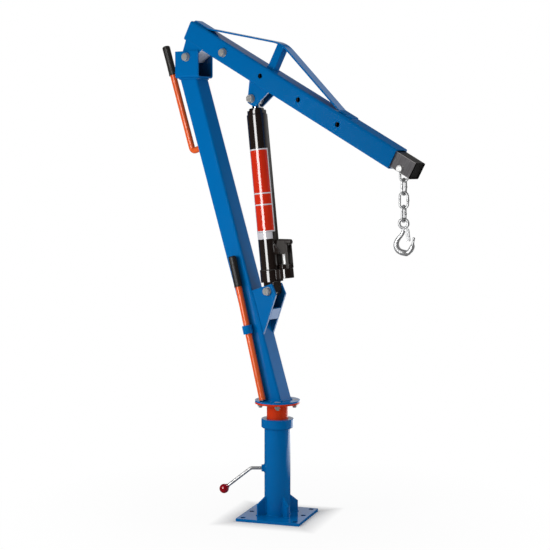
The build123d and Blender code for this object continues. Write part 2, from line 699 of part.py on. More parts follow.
def build_chain():
    """Chain links, hook and latch, hanging straight down from the chain pin."""
    pitch = link_inner_len - face_gap
    first = chain_pin.Z + chain_pin_d / 2 + face_gap - link_inner_len / 2
    for k, turn in enumerate(link_turns):
        spot = Pos(chain_pin.X, 0, first - k * pitch)
        pieces[f"chain_link_{k + 1}"] = spot * Rot(0, 0, turn) * chain_link()
    last = first - (len(link_turns) - 1) * pitch
    eye_hole_r = hook_eye_r - hook_eye_wire / 2
    eye_z = last - link_inner_len / 2 + face_gap - eye_hole_r

    eye = Rot(90, 0, 0) * Torus(hook_eye_r, hook_eye_wire / 2)
    low = -hook_bowl_drop
    left = hook_bowl_x - hook_bowl_r
    right = hook_bowl_x + hook_bowl_r
    diagonal = hook_bowl_r * sin(radians(45))
    tip = Vector(right + hook_tip_out, 0, low + hook_tip_up)
    tip_run = Vector(sin(radians(hook_tip_lean)), 0, -cos(radians(hook_tip_lean)))
    rounding = tip + tip_run * (hook_tip_d * 0.26)
    tip_end = tip + tip_run * (hook_tip_d * 0.42)
    body = loft(
        [
            hook_section(0, -hook_eye_r - 1, 0, hook_neck_d * 0.85),
            hook_section(-2, low * 0.42, -22, hook_neck_d),
            hook_section(left + hook_bowl_r * 0.36, low * 0.68, -42, hook_neck_d * 1.2),
            hook_section(left, low, 0, hook_back_d * 0.88),
            hook_section(hook_bowl_x - diagonal, low - diagonal, 45, hook_back_d * 0.97),
            hook_section(hook_bowl_x, low - hook_bowl_r, 90, hook_back_d),
            hook_section(hook_bowl_x + diagonal, low - diagonal, 135, hook_back_d * 0.85),
            hook_section(right, low, 177, hook_side_d),
            hook_section(tip.X, tip.Z, hook_tip_lean, hook_tip_d),
            hook_section(rounding.X, rounding.Z, hook_tip_lean, hook_tip_d * 0.86),
            hook_section(tip_end.X, tip_end.Z, hook_tip_lean, hook_tip_d * 0.55),
        ]
    )
    lug_w = latch_w - 2 * latch_sheet - 2 * face_gap
    lug_r = latch_depth / 2 - latch_sheet - face_gap
    neck_z = -hook_eye_r - hook_eye_wire / 2
    lug = Pos(0, neck_z) * Circle(lug_r) + Pos(latch_pin_x, -latch_pin_drop) * Circle(lug_r)
    lug = plate_xz(make_hull(lug.edges()), lug_w)
    pin_spot = Pos(latch_pin_x, 0, -latch_pin_drop)
    hook = eye + body + lug - pin_spot * rod_y(latch_pin_d + 2 * running_gap, -hook_eye_r, hook_eye_r)
    hang = Pos(chain_pin.X, 0, eye_z) * Rot(0, 0, hook_turn)
    pieces["hook"] = hang * hook

    shell = Box(latch_depth, latch_w, latch_len, align=(Align.CENTER, Align.CENTER, Align.MAX))
    shell = Pos(0, 0, latch_depth / 2) * shell
    shell = fillet(shell.edges().filter_by(Axis.Y).group_by(Axis.Z)[-1], latch_depth * 0.45)
    shell -= Pos(-latch_sheet, 0, 0) * Box(latch_depth, latch_w - 2 * latch_sheet, 2 * latch_len)
    shell -= rod_y(latch_pin_d + 2 * seat_gap, -latch_w, latch_w)
    pieces["hook_latch"] = hang * pin_spot * Rot(0, -latch_lean, 0) * shell
    pieces["latch_pin"] = hang * pin_spot * rod_y(latch_pin_d, -latch_w / 2 - 1, latch_w / 2 + 1)


def build_jack():
    """Jack cylinder and base, pump, release valve and ram."""
    eye_half = cheek_spread / 2 - cheek_thick - side_gap
    shoulder = Pos(0, base_collar_bottom) * Rectangle(2 * foot_eye_r, 8)
    foot = make_hull((Circle(foot_eye_r) + shoulder).edges())
    base = plate_xz(foot, 2 * eye_half) + rod_z(base_collar_d, base_collar_bottom, jack_bottom)
    bridge_h = jack_bottom - pump_base_z
    bridge = Pos(pump_x / 2, 0, pump_base_z + bridge_h / 2) * Box(pump_x, pump_block_w, bridge_h)
    base += bridge + Pos(pump_x, 0, 0) * rod_z(pump_base_d, pump_base_z, jack_bottom)
    base -= rod_y(m16 + 2 * running_gap, -cheek_spread, cheek_spread)
    well_d = plunger_d + 2 * running_gap
    base -= Pos(pump_x, 0, 0) * rod_z(well_d, well_bottom, jack_bottom + 1)
    valve_way = Pos(pump_x - valve_back, 0, valve_z)
    block_y = pump_block_w / 2
    base -= valve_way * rod_y(valve_d + 2 * running_gap, block_y - valve_len, pump_base_d)
    pieces["jack_base"] = on(jack_frame, base)
    valve = rod_y(valve_d, block_y - valve_len + face_gap, block_y + valve_len)
    valve -= Pos(0, block_y + valve_len, 0) * Box(2 * valve_d, valve_d, valve_slot)
    pieces["release_valve"] = on(jack_frame, valve_way * valve)

    bore = jack_d - 2 * jack_wall
    pieces["jack_cylinder"] = on(jack_frame, ring_z(jack_d, bore, jack_bottom, jack_top))
    tube_bore = piston_d + 2 * running_gap
    tube_d = tube_bore + 2 * pressure_tube_wall
    pieces["pressure_tube"] = on(jack_frame, ring_z(tube_d, tube_bore, jack_bottom, jack_top))
    ring_top = jack_top + gland_h
    gland = rod_z(gland_d, jack_top, ring_top) + rod_z(gland_cap_d, ring_top, ring_top + gland_cap_h)
    gland = chamfer(gland.edges().group_by(Axis.Z)[-1], 2)
    gland -= rod_z(ram_d + 2 * running_gap, jack_top - 1, ring_top + gland_cap_h + 1)
    pieces["jack_gland"] = on(jack_frame, gland)

    barrel = ring_z(pump_barrel_d, well_d, jack_bottom, pump_barrel_top)
    barrel = chamfer(barrel.edges().group_by(Axis.Z)[-1].sort_by(SortBy.LENGTH)[-1], 2)
    pieces["pump_barrel"] = on(jack_frame, Pos(pump_x, 0, 0) * barrel)

    stem = rod_z(plunger_d, well_bottom + pump_stroke + side_gap, plunger_top)
    stem = Pos(pump_x, 0, 0) * chamfer(stem.edges().group_by(Axis.Z)[-1], 2)
    drive = Pos(pump_x, pump_drive_z)
    tongue = drive * Circle(tongue_r) + Pos(pump_x, plunger_top) * Rectangle(2 * tongue_r, 6)
    tongue = make_hull(tongue.edges()) - drive * SlotCenterToCenter(2, pump_pin_d + 2 * face_gap)
    pieces["pump_plunger"] = on(jack_frame, stem + plate_xz(tongue, tongue_thick))

    cheek_in = tongue_thick / 2 + face_gap
    cheek_out = cheek_in + knuckle_cheek
    stub_d = handle_d - 2 * lever_wall - 2 * stub_gap
    fulcrum = Pos(fulcrum_x, fulcrum_z)
    cheek = fulcrum * Circle(fulcrum_r) + drive * Circle(knuckle_r)
    cheek += Pos(stub_from + knuckle_r, stub_z) * Rectangle(2 * knuckle_r, 4)
    cheek = plate_xz(make_hull(cheek.edges()), knuckle_cheek, -(cheek_in + cheek_out) / 2)
    stub = fillet(rod_z(stub_d, 0, stub_len).edges(), stub_d * 0.2)
    stub = Pos(stub_from, 0, stub_z) * Rot(0, 90 + stub_droop, 0) * stub
    drive_pin = Pos(pump_x, 0, pump_drive_z) * rod_y(pump_pin_d, -cheek_out, cheek_out)
    arm = pair_y(cheek) + stub + drive_pin
    fulcrum_way = Pos(fulcrum_x, 0, fulcrum_z)
    arm -= fulcrum_way * rod_y(pump_pin_d + 2 * running_gap, -jack_d, jack_d)
    pieces["pump_arm"] = on(jack_frame, arm)

    lug_in = cheek_out + face_gap
    lug_mid = (fulcrum_z + stub_z) / 2
    lug = fulcrum * Circle(fulcrum_r) + Pos(jack_d * 0.3, lug_mid) * Rectangle(8, lug_h)
    lug = plate_xz(make_hull(lug.edges()), lug_thick, -lug_in - lug_thick / 2)
    lug -= rod_z(jack_d + 2 * seat_gap, 0, jack_top)
    lug -= fulcrum_way * rod_y(pump_pin_d + 2 * seat_gap, -jack_d, jack_d)
    half = lug_in + lug_thick + 2
    pin = fulcrum_way * rod_y(pump_pin_d, -half, half)
    pieces["pump_fulcrum"] = on(jack_frame, Part() + [pair_y(lug), pin])

    eye_half = ear_spread / 2 - ear_thick - side_gap
    rod = rod_z(ram_d, piston_up, jack_len - ram_eye_r * 0.7)
    eye = Pos(0, 0, jack_len) * rod_y(2 * ram_eye_r, -eye_half, eye_half)
    eye -= Pos(0, 0, jack_len) * rod_y(m16 + 2 * hole_gap, -ear_spread, ear_spread)
    piston = rod_z(piston_d, piston_up - piston_h, piston_up)
    pieces["ram"] = on(jack_frame, rod + piston - eye)
    pieces["ram_eye"] = on(jack_frame, eye)


build_pedestal()
build_lock()
build_pivot()
build_mast()
build_handles()
build_boom()
build_inner_boom()
build_chain()
build_jack()

os.makedirs("parts", exist_ok=True)
for name, shape in pieces.items():
    export_step(shape, f"parts/{name}.step")
print(len(pieces), "pieces, jack", round(jack_len, 1), "long")
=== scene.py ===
import json
import logging
import math
from collections.abc import Sequence
from dataclasses import dataclass
from enum import Enum, IntEnum
from functools import cache

import bmesh
import bpy
from mathutils import Matrix, Vector

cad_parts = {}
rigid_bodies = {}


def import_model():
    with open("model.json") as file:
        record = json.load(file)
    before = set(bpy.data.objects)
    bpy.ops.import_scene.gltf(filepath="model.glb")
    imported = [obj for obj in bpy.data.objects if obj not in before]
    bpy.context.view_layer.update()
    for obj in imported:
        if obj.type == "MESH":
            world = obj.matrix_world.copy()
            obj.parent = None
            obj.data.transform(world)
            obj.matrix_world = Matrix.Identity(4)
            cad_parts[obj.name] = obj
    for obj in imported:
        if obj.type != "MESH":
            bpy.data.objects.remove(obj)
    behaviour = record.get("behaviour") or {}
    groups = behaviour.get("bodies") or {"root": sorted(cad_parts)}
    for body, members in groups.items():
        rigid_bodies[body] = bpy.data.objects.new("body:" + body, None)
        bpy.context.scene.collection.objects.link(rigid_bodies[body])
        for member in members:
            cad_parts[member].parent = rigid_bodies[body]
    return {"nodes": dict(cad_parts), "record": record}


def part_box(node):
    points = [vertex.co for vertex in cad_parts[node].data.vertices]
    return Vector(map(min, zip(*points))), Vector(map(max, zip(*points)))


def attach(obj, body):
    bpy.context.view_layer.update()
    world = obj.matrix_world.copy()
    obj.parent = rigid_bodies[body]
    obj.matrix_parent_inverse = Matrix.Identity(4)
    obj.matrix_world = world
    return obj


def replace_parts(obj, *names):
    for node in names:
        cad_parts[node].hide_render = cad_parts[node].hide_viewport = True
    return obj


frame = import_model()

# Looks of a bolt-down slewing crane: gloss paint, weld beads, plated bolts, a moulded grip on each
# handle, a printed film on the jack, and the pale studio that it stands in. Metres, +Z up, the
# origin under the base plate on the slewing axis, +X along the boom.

log = logging.getLogger("crane")
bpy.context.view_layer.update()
BODY_OF: dict[str, str] = {
    node: body for body, nodes in frame["record"]["behaviour"]["bodies"].items() for node in nodes
}
SLOT_OF: dict[str, str] = {row["node"]: row["material_slot"] for row in frame["record"]["subparts"]}

Pair = tuple[float, float]
Point = tuple[float, float, float]
Colour = tuple[float, float, float]
Outline = Sequence[Pair]
# A fade's low and high result, and the values at which it reaches them.
Fade = tuple[float, float, float, float]
Socket = bpy.types.NodeSocket
Number = float | Socket
Tint = Colour | Socket
Vert = bmesh.types.BMVert
Edge = bmesh.types.BMEdge
Face = bmesh.types.BMFace

WHITE = (1.0, 1.0, 1.0, 1.0)
SHARP = math.radians(32.0)  # least angle of an edge that is rounded off
CREASE = math.radians(35.0)  # least angle of an edge that is shaded as a corner
FLAT = math.radians(0.6)  # most that the faces of one flat side differ


class Steps(IntEnum):
    """Steps of a full turn, by the size of the piece."""

    LARGE = 96
    MIDDLE = 48
    SMALL = 32
    TINY = 24


class Thread(Enum):
    """Radius and pitch of a bolt's thread."""

    M12 = (0.006, 0.00175)
    M16 = (0.008, 0.002)


class Coat(Enum):
    """Finishes that the crane's pieces are given, most by the record's slot names."""

    BLUE = "blue_paint"
    RED = "red_paint"
    ORANGE = "orange_paint"
    BLACK = "black_paint"
    ZINC = "zinc"
    STEEL = "bare_steel"
    GALVANISED = "galvanised"
    CHROME = "chrome"
    BRONZE = "bronze"
    RUBBER = "black_rubber"
    PLASTIC = "black_plastic"
    NYLON = "white_nylon"
    BALL = "red_ball"
    PRINT_RED = "printed_red"
    PRINT_WHITE = "printed_white"
    CAST = "cast_black"
    # Near-white plated pins: their whiteness is partly a painted highlight.
    ROD = "plated_rod"
    PIN = "bright_pin"
    # Lavender sheet on the bracket's web: a painted reflection.
    PAINTED_GLARE = "pale_plate"

    @classmethod
    def of(cls, node: str) -> "Coat":
        """Find a node's finish: its own, or that of its slot in the record."""
        return OWN_COATS.get(node) or cls(SLOT_OF[node])

    @property
    def slot(self) -> str:
        """The record's slot of the finish, or that of the nearest finish."""
        return NEAREST.get(self, self).value


NEAREST: dict[Coat, Coat] = {
    Coat.PRINT_RED: Coat.RED,
    Coat.PRINT_WHITE: Coat.NYLON,
    Coat.CAST: Coat.BLACK,
    Coat.ROD: Coat.ZINC,
    Coat.PIN: Coat.ZINC,
    Coat.PAINTED_GLARE: Coat.GALVANISED,
}
OWN_COATS: dict[str, Coat] = {
    "lock_screw": Coat.ROD, "ram_eye": Coat.ROD, "chain_pin": Coat.PIN, "pump_arm": Coat.CAST,
}


class NodeSheet:
    """A shader node tree under construction, with short ways to add and join nodes."""

    def __init__(self, tree: bpy.types.NodeTree) -> None:
        """Keep the tree that nodes are added to."""
        self.tree = tree

    @classmethod
    def emptied(cls, owner: bpy.types.Material | bpy.types.World) -> "NodeSheet":
        """Start on the emptied nodes of a material or a world.

        Args:
            owner: the material or world.

        Returns:
            Its sheet.
        """
        owner.use_nodes = True
        owner.node_tree.nodes.clear()
        return cls(owner.node_tree)

    def add(self, kind: str, inputs: dict | None = None, **settings: object) -> bpy.types.Node:
        """Add a node.

        Args:
            kind: the node's type name without its ShaderNode prefix.
            inputs: values, or sockets to join, for its inputs by name or number.
            settings: properties of the node.

        Returns:
            The new node.
        """
        node = self.tree.nodes.new("ShaderNode" + kind)
        for name, value in settings.items():
            setattr(node, name, value)
        for key, value in (inputs or {}).items():
            if isinstance(value, Socket):
                self.tree.links.new(value, node.inputs[key])
            else:
                node.inputs[key].default_value = value
        return node

    def place(self) -> Socket:
        """Add the object's own coordinates."""
        return self.add("TexCoord").outputs["Object"]

    def axis(self, vector: Socket, name: str) -> Socket:
        """Add one axis of a vector."""
        return self.add("SeparateXYZ", {0: vector}).outputs[name]

    def dot(self, first: Socket, second: Socket | Point) -> Socket:
        """Add the dot product of two vectors."""
        return self.add("VectorMath", {0: first, 1: second}, operation="DOT_PRODUCT").outputs["Value"]

    def noise(self, vector: Socket, scale: Number, detail: float = 2.0, rough: float = 0.5) -> Socket:
        """Add a noise, from 0 to 1, of so many cells per metre and octaves."""
        inputs = {"Vector": vector, "Scale": scale, "Detail": detail, "Roughness": rough}
        return self.add("TexNoise", inputs).outputs["Fac"]

    def math(self, operation: str, *values: Number, clamp: bool = False) -> Socket:
        """Add a sum, product or other step on numbers, by Blender's name for it."""
        return self.add("Math", dict(enumerate(values)), operation=operation, use_clamp=clamp).outputs[0]

    def spread(self, value: Socket, low: Number, high: Number, start: float = 0.3,
               end: float = 0.7) -> Socket:
        """Add a value that goes from low to high while another goes from start to end."""
        inputs = {"Value": value, "From Min": start, "From Max": end, "To Min": low, "To Max": high}
        return self.add("MapRange", inputs).outputs["Result"]

    def mix(self, share: Number, first: Tint, second: Tint, blend: str = "MIX") -> Socket:
        """Mix two colours.

        Args:
            share: how much of the second, from 0 to 1.
            first: a colour or a socket.
            second: a colour or a socket.
            blend: Blender's name of the mixing rule.

        Returns:
            The mixed colour.
        """
        pair = [tint if isinstance(tint, Socket) else (*tint, 1.0) for tint in (first, second)]
        inputs = {0: share, 6: pair[0], 7: pair[1]}
        return self.add("Mix", inputs, data_type="RGBA", blend_type=blend).outputs[2]

    def shaded(self, colour: Tint, level: Socket) -> Socket:
        """Multiply a colour by a level."""
        grey = self.add("CombineColor", {0: level, 1: level, 2: level}).outputs[0]
        return self.mix(1.0, colour, grey, "MULTIPLY")

    def glow(self, strength: Number) -> Socket:
        """Add a white emission."""
        return self.add("Emission", {"Color": WHITE, "Strength": strength}).outputs[0]

    def blend(self, share: Socket, first: Socket, second: Socket) -> Socket:
        """Mix two shaders by the share of the second."""
        return self.add("MixShader", {0: share, 1: first, 2: second}).outputs[0]

    def end(self, shader: Socket, kind: str = "OutputMaterial") -> None:
        """Join a shader to the tree's output."""
        self.tree.links.new(shader, self.add(kind).inputs["Surface"])


class ShaderGroups:
    """Node groups for effects that several finishes share, each built once."""

    NOISE_MEAN = 0.5
    PATCH_DETAIL = 4.0
    SMEAR_SCALE = 2.7
    SMEAR_DETAIL = 3.0
    RUB_AND_HIGHLIGHT_GAIN = 5.0
    RUB_AND_HIGHLIGHT_SCALE = 60.0
    RUB_AND_HIGHLIGHT_DETAIL = 4.0
    RUB_AND_HIGHLIGHT_BREAKS: Fade = (0.2, 1.0, 0.35, 0.65)
    RUB_AND_HIGHLIGHT_SAMPLES = 4
    SHUT_SAMPLES = 8
    SHUT: Fade = (1.0, 0.0, 0.45, 0.95)

    @staticmethod
    def start(name: str, inputs: Sequence[str],
              outputs: Sequence[str]) -> tuple[NodeSheet, Sequence, Sequence]:
        """Begin a group with its sockets.

        Args:
            name: the group's name.
            inputs: names of its inputs, numbers but for one named Color.
            outputs: names of its outputs in the same way.

        Returns:
            The group's sheet, the sockets given to it and those of its result.
        """
        tree = bpy.data.node_groups.new(name, "ShaderNodeTree")
        for way, labels in (("INPUT", inputs), ("OUTPUT", outputs)):
            for label in labels:
                kind = "NodeSocketColor" if label == "Color" else "NodeSocketFloat"
                tree.interface.new_socket(label, in_out=way, socket_type=kind)
        given = tree.nodes.new("NodeGroupInput").outputs
        return NodeSheet(tree), given, tree.nodes.new("NodeGroupOutput").inputs

    @classmethod
    @cache
    def skin(cls) -> bpy.types.NodeTree:
        """Uneven tone, gloss and fine relief of a coated or bare surface.

        Returns:
            The group.
        """
        sheet, given, result = cls.start(
            "surface_skin",
            ("Color", "Tone", "Patch Scale", "Roughness", "Gloss Spread", "Grain Scale"),
            ("Color", "Roughness", "Height"),
        )
        place = sheet.place()
        patch = sheet.noise(place, given["Patch Scale"], cls.PATCH_DETAIL)
        low = sheet.math("SUBTRACT", 1.0, given["Tone"])
        high = sheet.math("ADD", 1.0, given["Tone"])
        colour = sheet.shaded(given["Color"], sheet.spread(patch, low, high))
        scale = sheet.math("MULTIPLY", given["Patch Scale"], cls.SMEAR_SCALE)
        smear = sheet.math("SUBTRACT", sheet.noise(place, scale, cls.SMEAR_DETAIL), cls.NOISE_MEAN)
        rough = sheet.math("MULTIPLY_ADD", smear, given["Gloss Spread"], given["Roughness"])
        grain = sheet.noise(place, given["Grain Scale"])
        for label, socket in (("Color", colour), ("Roughness", rough), ("Height", grain)):
            sheet.tree.links.new(socket, result[label])
        return sheet.tree

    @classmethod
    @cache
    def edges(cls) -> bpy.types.NodeTree:
        """Mask of the outer edges within a given reach, broken up by a noise, where a lighter colour stands
        partly for rubbed paint and partly for a painted highlight.

        Returns:
            The group.
        """
        sheet, given, result = cls.start("edge_rub", ("Reach", "Amount"), ("Mask",))
        # A lighter colour along edges: partly rubbed paint, partly a painted highlight.
        rounded = sheet.add("Bevel", {"Radius": given["Reach"]}, samples=cls.RUB_AND_HIGHLIGHT_SAMPLES).outputs[0]
        agree = sheet.dot(rounded, sheet.add("NewGeometry").outputs["Normal"])
        mask = sheet.math("MULTIPLY", sheet.math("SUBTRACT", 1.0, agree), cls.RUB_AND_HIGHLIGHT_GAIN, clamp=True)
        noise = sheet.noise(sheet.place(), cls.RUB_AND_HIGHLIGHT_SCALE, cls.RUB_AND_HIGHLIGHT_DETAIL)
        broken = sheet.math("MULTIPLY", mask, sheet.spread(noise, *cls.RUB_AND_HIGHLIGHT_BREAKS))
        amount = sheet.math("MULTIPLY", broken, given["Amount"], clamp=True)
        sheet.tree.links.new(amount, result["Mask"])
        return sheet.tree

    @classmethod
    @cache
    def hollows(cls) -> bpy.types.NodeTree:
        """Mask of the inner corners and hollows of a piece, darkened there as painted shade.

        Returns:
            The group.
        """
        sheet, given, result = cls.start("hollow_dust", ("Reach", "Amount"), ("Mask",))
        reach = {"Distance": given["Reach"]}
        # Painted shade: the piece's own ambient occlusion darkens its inner corners and hollows.
        opened = sheet.add("AmbientOcclusion", reach, samples=cls.SHUT_SAMPLES, only_local=True)
        shut = sheet.spread(opened.outputs["AO"], *cls.SHUT)
        sheet.tree.links.new(sheet.math("MULTIPLY", shut, given["Amount"], clamp=True), result["Mask"])
        return sheet.tree


@dataclass(frozen=True)
class Finish:
    """A surface that a piece can have.

    Attributes:
        colour: linear base colour.
        roughness: mean roughness.
        metallic: 1 for bare or plated metal.
        coat: weight of the clear coat.
        coat_roughness: roughness of the clear coat.
        specular: strength of the reflection of a surface that isn't metal.
        index: refractive index of such a surface.
        tone: how far the colour varies.
        patch_scale: patches of tone per metre.
        gloss_spread: how far the roughness varies.
        grain_scale: grains of relief per metre.
        grain_depth: height of the relief in metres.
        edge_colour: lighter colour along edges, partly rubbed paint and partly a painted highlight, or None.
        edge_amount: how much of it.
        edge_reach: how near the edge.
        hollow_shade_colour: dark colour painted into hollows as painted shade, or None.
        hollow_amount: how much of it.
        hollow_reach: how near the walls of a hollow are.
    """

    colour: Colour
    roughness: float
    metallic: float = 0.0
    coat: float = 0.0
    coat_roughness: float = 0.06
    specular: float = 0.5
    index: float = 1.5
    tone: float = 0.02
    patch_scale: float = 9.0
    gloss_spread: float = 0.06
    grain_scale: float = 350.0
    grain_depth: float = 0.000006
    edge_colour: Colour | None = None
    edge_amount: float = 0.35
    edge_reach: float = 0.0012
    hollow_shade_colour: Colour | None = None
    hollow_amount: float = 0.9
    hollow_reach: float = 0.10

    def material(self, name: str) -> bpy.types.Material:
        """Build the finish as a material.

        Args:
            name: the material's name.

        Returns:
            The material.
        """
        made = bpy.data.materials.new(name)
        sheet = NodeSheet.emptied(made)
        colour, rough, height = self.surface(sheet)
        bump = sheet.add("Bump", {"Strength": 1.0, "Distance": self.grain_depth, "Height": height})
        shader = sheet.add("BsdfPrincipled", {
            "Base Color": colour, "Roughness": rough, "Metallic": self.metallic,
            "Coat Weight": self.coat, "Coat Roughness": self.coat_roughness,
            "Specular IOR Level": self.specular, "IOR": self.index, "Normal": bump.outputs[0],
        })
        sheet.end(shader.outputs[0])
        return made

    def surface(self, sheet: NodeSheet) -> tuple[Socket, Socket, Socket]:
        """Add the nodes that vary over the surface.

        Args:
            sheet: the material's nodes.

        Returns:
            Sockets of colour, roughness and height.
        """
        skin = sheet.add("Group", {
            "Color": (*self.colour, 1.0), "Tone": self.tone, "Patch Scale": self.patch_scale,
            "Roughness": self.roughness, "Gloss Spread": self.gloss_spread, "Grain Scale": self.grain_scale,
        }, node_tree=ShaderGroups.skin()).outputs
        colour = skin["Color"]
        # Along edges: partly rubbed paint, partly a painted highlight.
        if self.edge_colour:
            amounts = {"Reach": self.edge_reach, "Amount": self.edge_amount}
            rub_and_highlight = sheet.add("Group", amounts, node_tree=ShaderGroups.edges())
            colour = sheet.mix(rub_and_highlight.outputs["Mask"], colour, self.edge_colour)
        # In hollows: painted shade.
        if self.hollow_shade_colour:
            amounts = {"Reach": self.hollow_reach, "Amount": self.hollow_amount}
            painted_hollow_shade = sheet.add("Group", amounts, node_tree=ShaderGroups.hollows())
            colour = sheet.mix(painted_hollow_shade.outputs["Mask"], colour, self.hollow_shade_colour)
        return colour, skin["Roughness"], skin["Height"]


@dataclass(frozen=True)
class DrawnSteel(Finish):
    """Dark drawn tube, worn bright on its two sides, with fine marks across the boom.

    Attributes:
        lean: the boom's slope in degrees.
        mark_scale: marks per metre along the boom.
        mark_stretch: the marks' scale along the boom, across it and upright to it.
        mark_detail, mark_rough: octaves of the marks and weight of the finer ones.
        mark_depth: how dark a mark is.
        scale_colour: colour of the unworn top and underside.
        worn: distances from the middle plane at which wear starts and is full.
        flat: distances from it at which the flat of the side starts and is full.
        rubbed_and_highlight_colour: near-white colour of the rounded corners in between, partly worn steel
            and partly a painted highlight.
    """

    lean: float = 28.35
    mark_scale: float = 420.0
    mark_stretch: Point = (1.0, 0.05, 0.05)
    mark_detail: float = 3.0
    mark_rough: float = 0.6
    mark_depth: float = 0.22
    scale_colour: Colour = (0.018, 0.015, 0.014)
    worn: Pair = (0.0256, 0.0262)
    flat: Pair = (0.0275, 0.0279)
    rubbed_and_highlight_colour: Colour = (0.90, 0.88, 0.88)

    def surface(self, sheet: NodeSheet) -> tuple[Socket, Socket, Socket]:
        """Add the nodes that vary over the surface, the marks over the plain skin.

        Args:
            sheet: the material's nodes.

        Returns:
            Sockets of colour, roughness and height.
        """
        colour, rough, height = super().surface(sheet)
        place = sheet.place()
        slope = (0.0, -math.radians(self.lean), 0.0)
        turned = sheet.add("Mapping", {"Vector": place, "Rotation": slope}).outputs[0]
        drawn = sheet.add("Mapping", {"Vector": turned, "Scale": self.mark_stretch}).outputs[0]
        marks = sheet.noise(drawn, self.mark_scale, self.mark_detail, self.mark_rough)
        bright = sheet.shaded(colour, sheet.spread(marks, 1.0 - self.mark_depth, 1.0 + self.mark_depth))
        out = sheet.math("ABSOLUTE", sheet.axis(place, "Y"))
        # Near-white rounded corners: partly worn steel, partly a painted highlight.
        bright = sheet.mix(sheet.spread(out, 0.0, 1.0, *self.flat), self.rubbed_and_highlight_colour, bright)
        worn = sheet.mix(sheet.spread(out, 0.0, 1.0, *self.worn), self.scale_colour, bright)
        return worn, rough, sheet.math("ADD", height, marks)


# An edge_colour lightens edges, partly as rubbed paint and partly as a painted highlight.
FINISHES: dict[Coat, Finish] = {
    # The blue's hollow_shade_colour is painted shade in its hollows and inner corners.
    Coat.BLUE: Finish((0.0, 0.150, 0.455), 0.10, specular=0.65, edge_colour=(0.03, 0.24, 0.57),
                      hollow_shade_colour=(0.0, 0.020, 0.060)),
    Coat.RED: Finish((0.73, 0.045, 0.006), 0.18, edge_colour=(0.8, 0.12, 0.04)),
    Coat.ORANGE: Finish((0.86, 0.125, 0.022), 0.22),
    Coat.BLACK: Finish((0.019, 0.013, 0.011), 0.07, index=1.8, edge_colour=(0.05, 0.045, 0.042)),
    Coat.CAST: Finish((0.034, 0.029, 0.026), 0.42, tone=0.08, patch_scale=60.0, grain_scale=900.0,
                      grain_depth=0.00003, edge_colour=(0.09, 0.085, 0.08)),
    Coat.ZINC: Finish((0.70, 0.70, 0.68), 0.34, metallic=0.6, tone=0.10, patch_scale=70.0, gloss_spread=0.2),
    # Near-white plated pins and plunger: the whiteness is partly a painted highlight.
    Coat.PIN: Finish((0.86, 0.86, 0.85), 0.36, metallic=0.2, tone=0.05, patch_scale=90.0, gloss_spread=0.1),
    Coat.ROD: Finish((0.52, 0.52, 0.52), 0.36, metallic=0.6, tone=0.06, patch_scale=50.0, gloss_spread=0.1),
    Coat.STEEL: DrawnSteel((0.36, 0.345, 0.36), 0.34, metallic=0.6, tone=0.10, patch_scale=40.0,
                           gloss_spread=0.2),
    Coat.GALVANISED: Finish((0.64, 0.645, 0.65), 0.44, metallic=0.6, tone=0.10, patch_scale=120.0,
                            gloss_spread=0.15, grain_scale=700.0, grain_depth=0.00002),
    # Lavender sheet on the bracket's web: a painted reflection.
    Coat.PAINTED_GLARE: Finish((0.62, 0.66, 0.78), 0.30, metallic=0.15, tone=0.06, patch_scale=60.0, gloss_spread=0.1),
    Coat.CHROME: Finish((0.80, 0.80, 0.81), 0.10, metallic=1.0, tone=0.02),
    Coat.BRONZE: Finish((0.55, 0.33, 0.12), 0.34, metallic=1.0, tone=0.08),
    Coat.RUBBER: Finish((0.020, 0.018, 0.016), 0.46, specular=0.4, tone=0.08, grain_scale=1600.0,
                        grain_depth=0.00003),
    Coat.PLASTIC: Finish((0.005, 0.0046, 0.0044), 0.60, specular=0.12, tone=0.05, grain_scale=1200.0),
    Coat.NYLON: Finish((0.72, 0.71, 0.66), 0.45, tone=0.03),
    Coat.BALL: Finish((0.32, 0.003, 0.010), 0.16, coat=0.6),
    Coat.PRINT_RED: Finish((0.72, 0.030, 0.008), 0.10, index=1.8, tone=0.03, patch_scale=14.0),
    Coat.PRINT_WHITE: Finish((0.70, 0.69, 0.73), 0.10, index=1.8, tone=0.03, patch_scale=14.0),
}


@cache
def paint(coat: Coat) -> bpy.types.Material:
    """Make a finish's material, once."""
    return FINISHES[coat].material("paint_" + coat.value)


def dress(name: str, node: bpy.types.Object) -> None:
    """Put its finish on a node.

    Args:
        name: the node's name.
        node: its object.
    """
    coat = Coat.of(name)
    for held in node.material_slots:
        held.material = paint(coat)
    log.info("node %s dressed in %s", name, coat.value)


def rotation(degrees: float, axis: str) -> Matrix:
    """Turn about an axis."""
    return Matrix.Rotation(math.radians(degrees), 4, axis)


def pointing(way: Vector) -> Matrix:
    """Turn that points Z along a direction."""
    return way.to_track_quat("Z", "Y").to_matrix().to_4x4()


def leaning(place: Point, degrees: float) -> Matrix:
    """Axes of a part of the crane that leans in the boom's plane."""
    return Matrix.Translation(place) @ rotation(degrees, "Y")


def arc(radius: float, start: float, step: float, count: int) -> list[Pair]:
    """Points on a round, at even steps in degrees from a start."""
    turns = [math.radians(start + step * k) for k in range(count)]
    return [(radius * math.cos(turn), radius * math.sin(turn)) for turn in turns]


def full_round(radius: float, count: int) -> list[Pair]:
    """Points at even steps on a full round."""
    return arc(radius, 0.0, 360.0 / count, count)


def picked(parts: list, kind: type) -> list:
    """Pick the vertices, edges or faces out of an operator's result."""
    return [part for part in parts if isinstance(part, kind)]


def linked(name: str, data: bpy.types.ID) -> bpy.types.Object:
    """Make an object and put it in the scene.

    Args:
        name: its name.
        data: its mesh, lamp or camera.

    Returns:
        The object.
    """
    made = bpy.data.objects.new(name, data)
    bpy.context.scene.collection.objects.link(made)
    return made


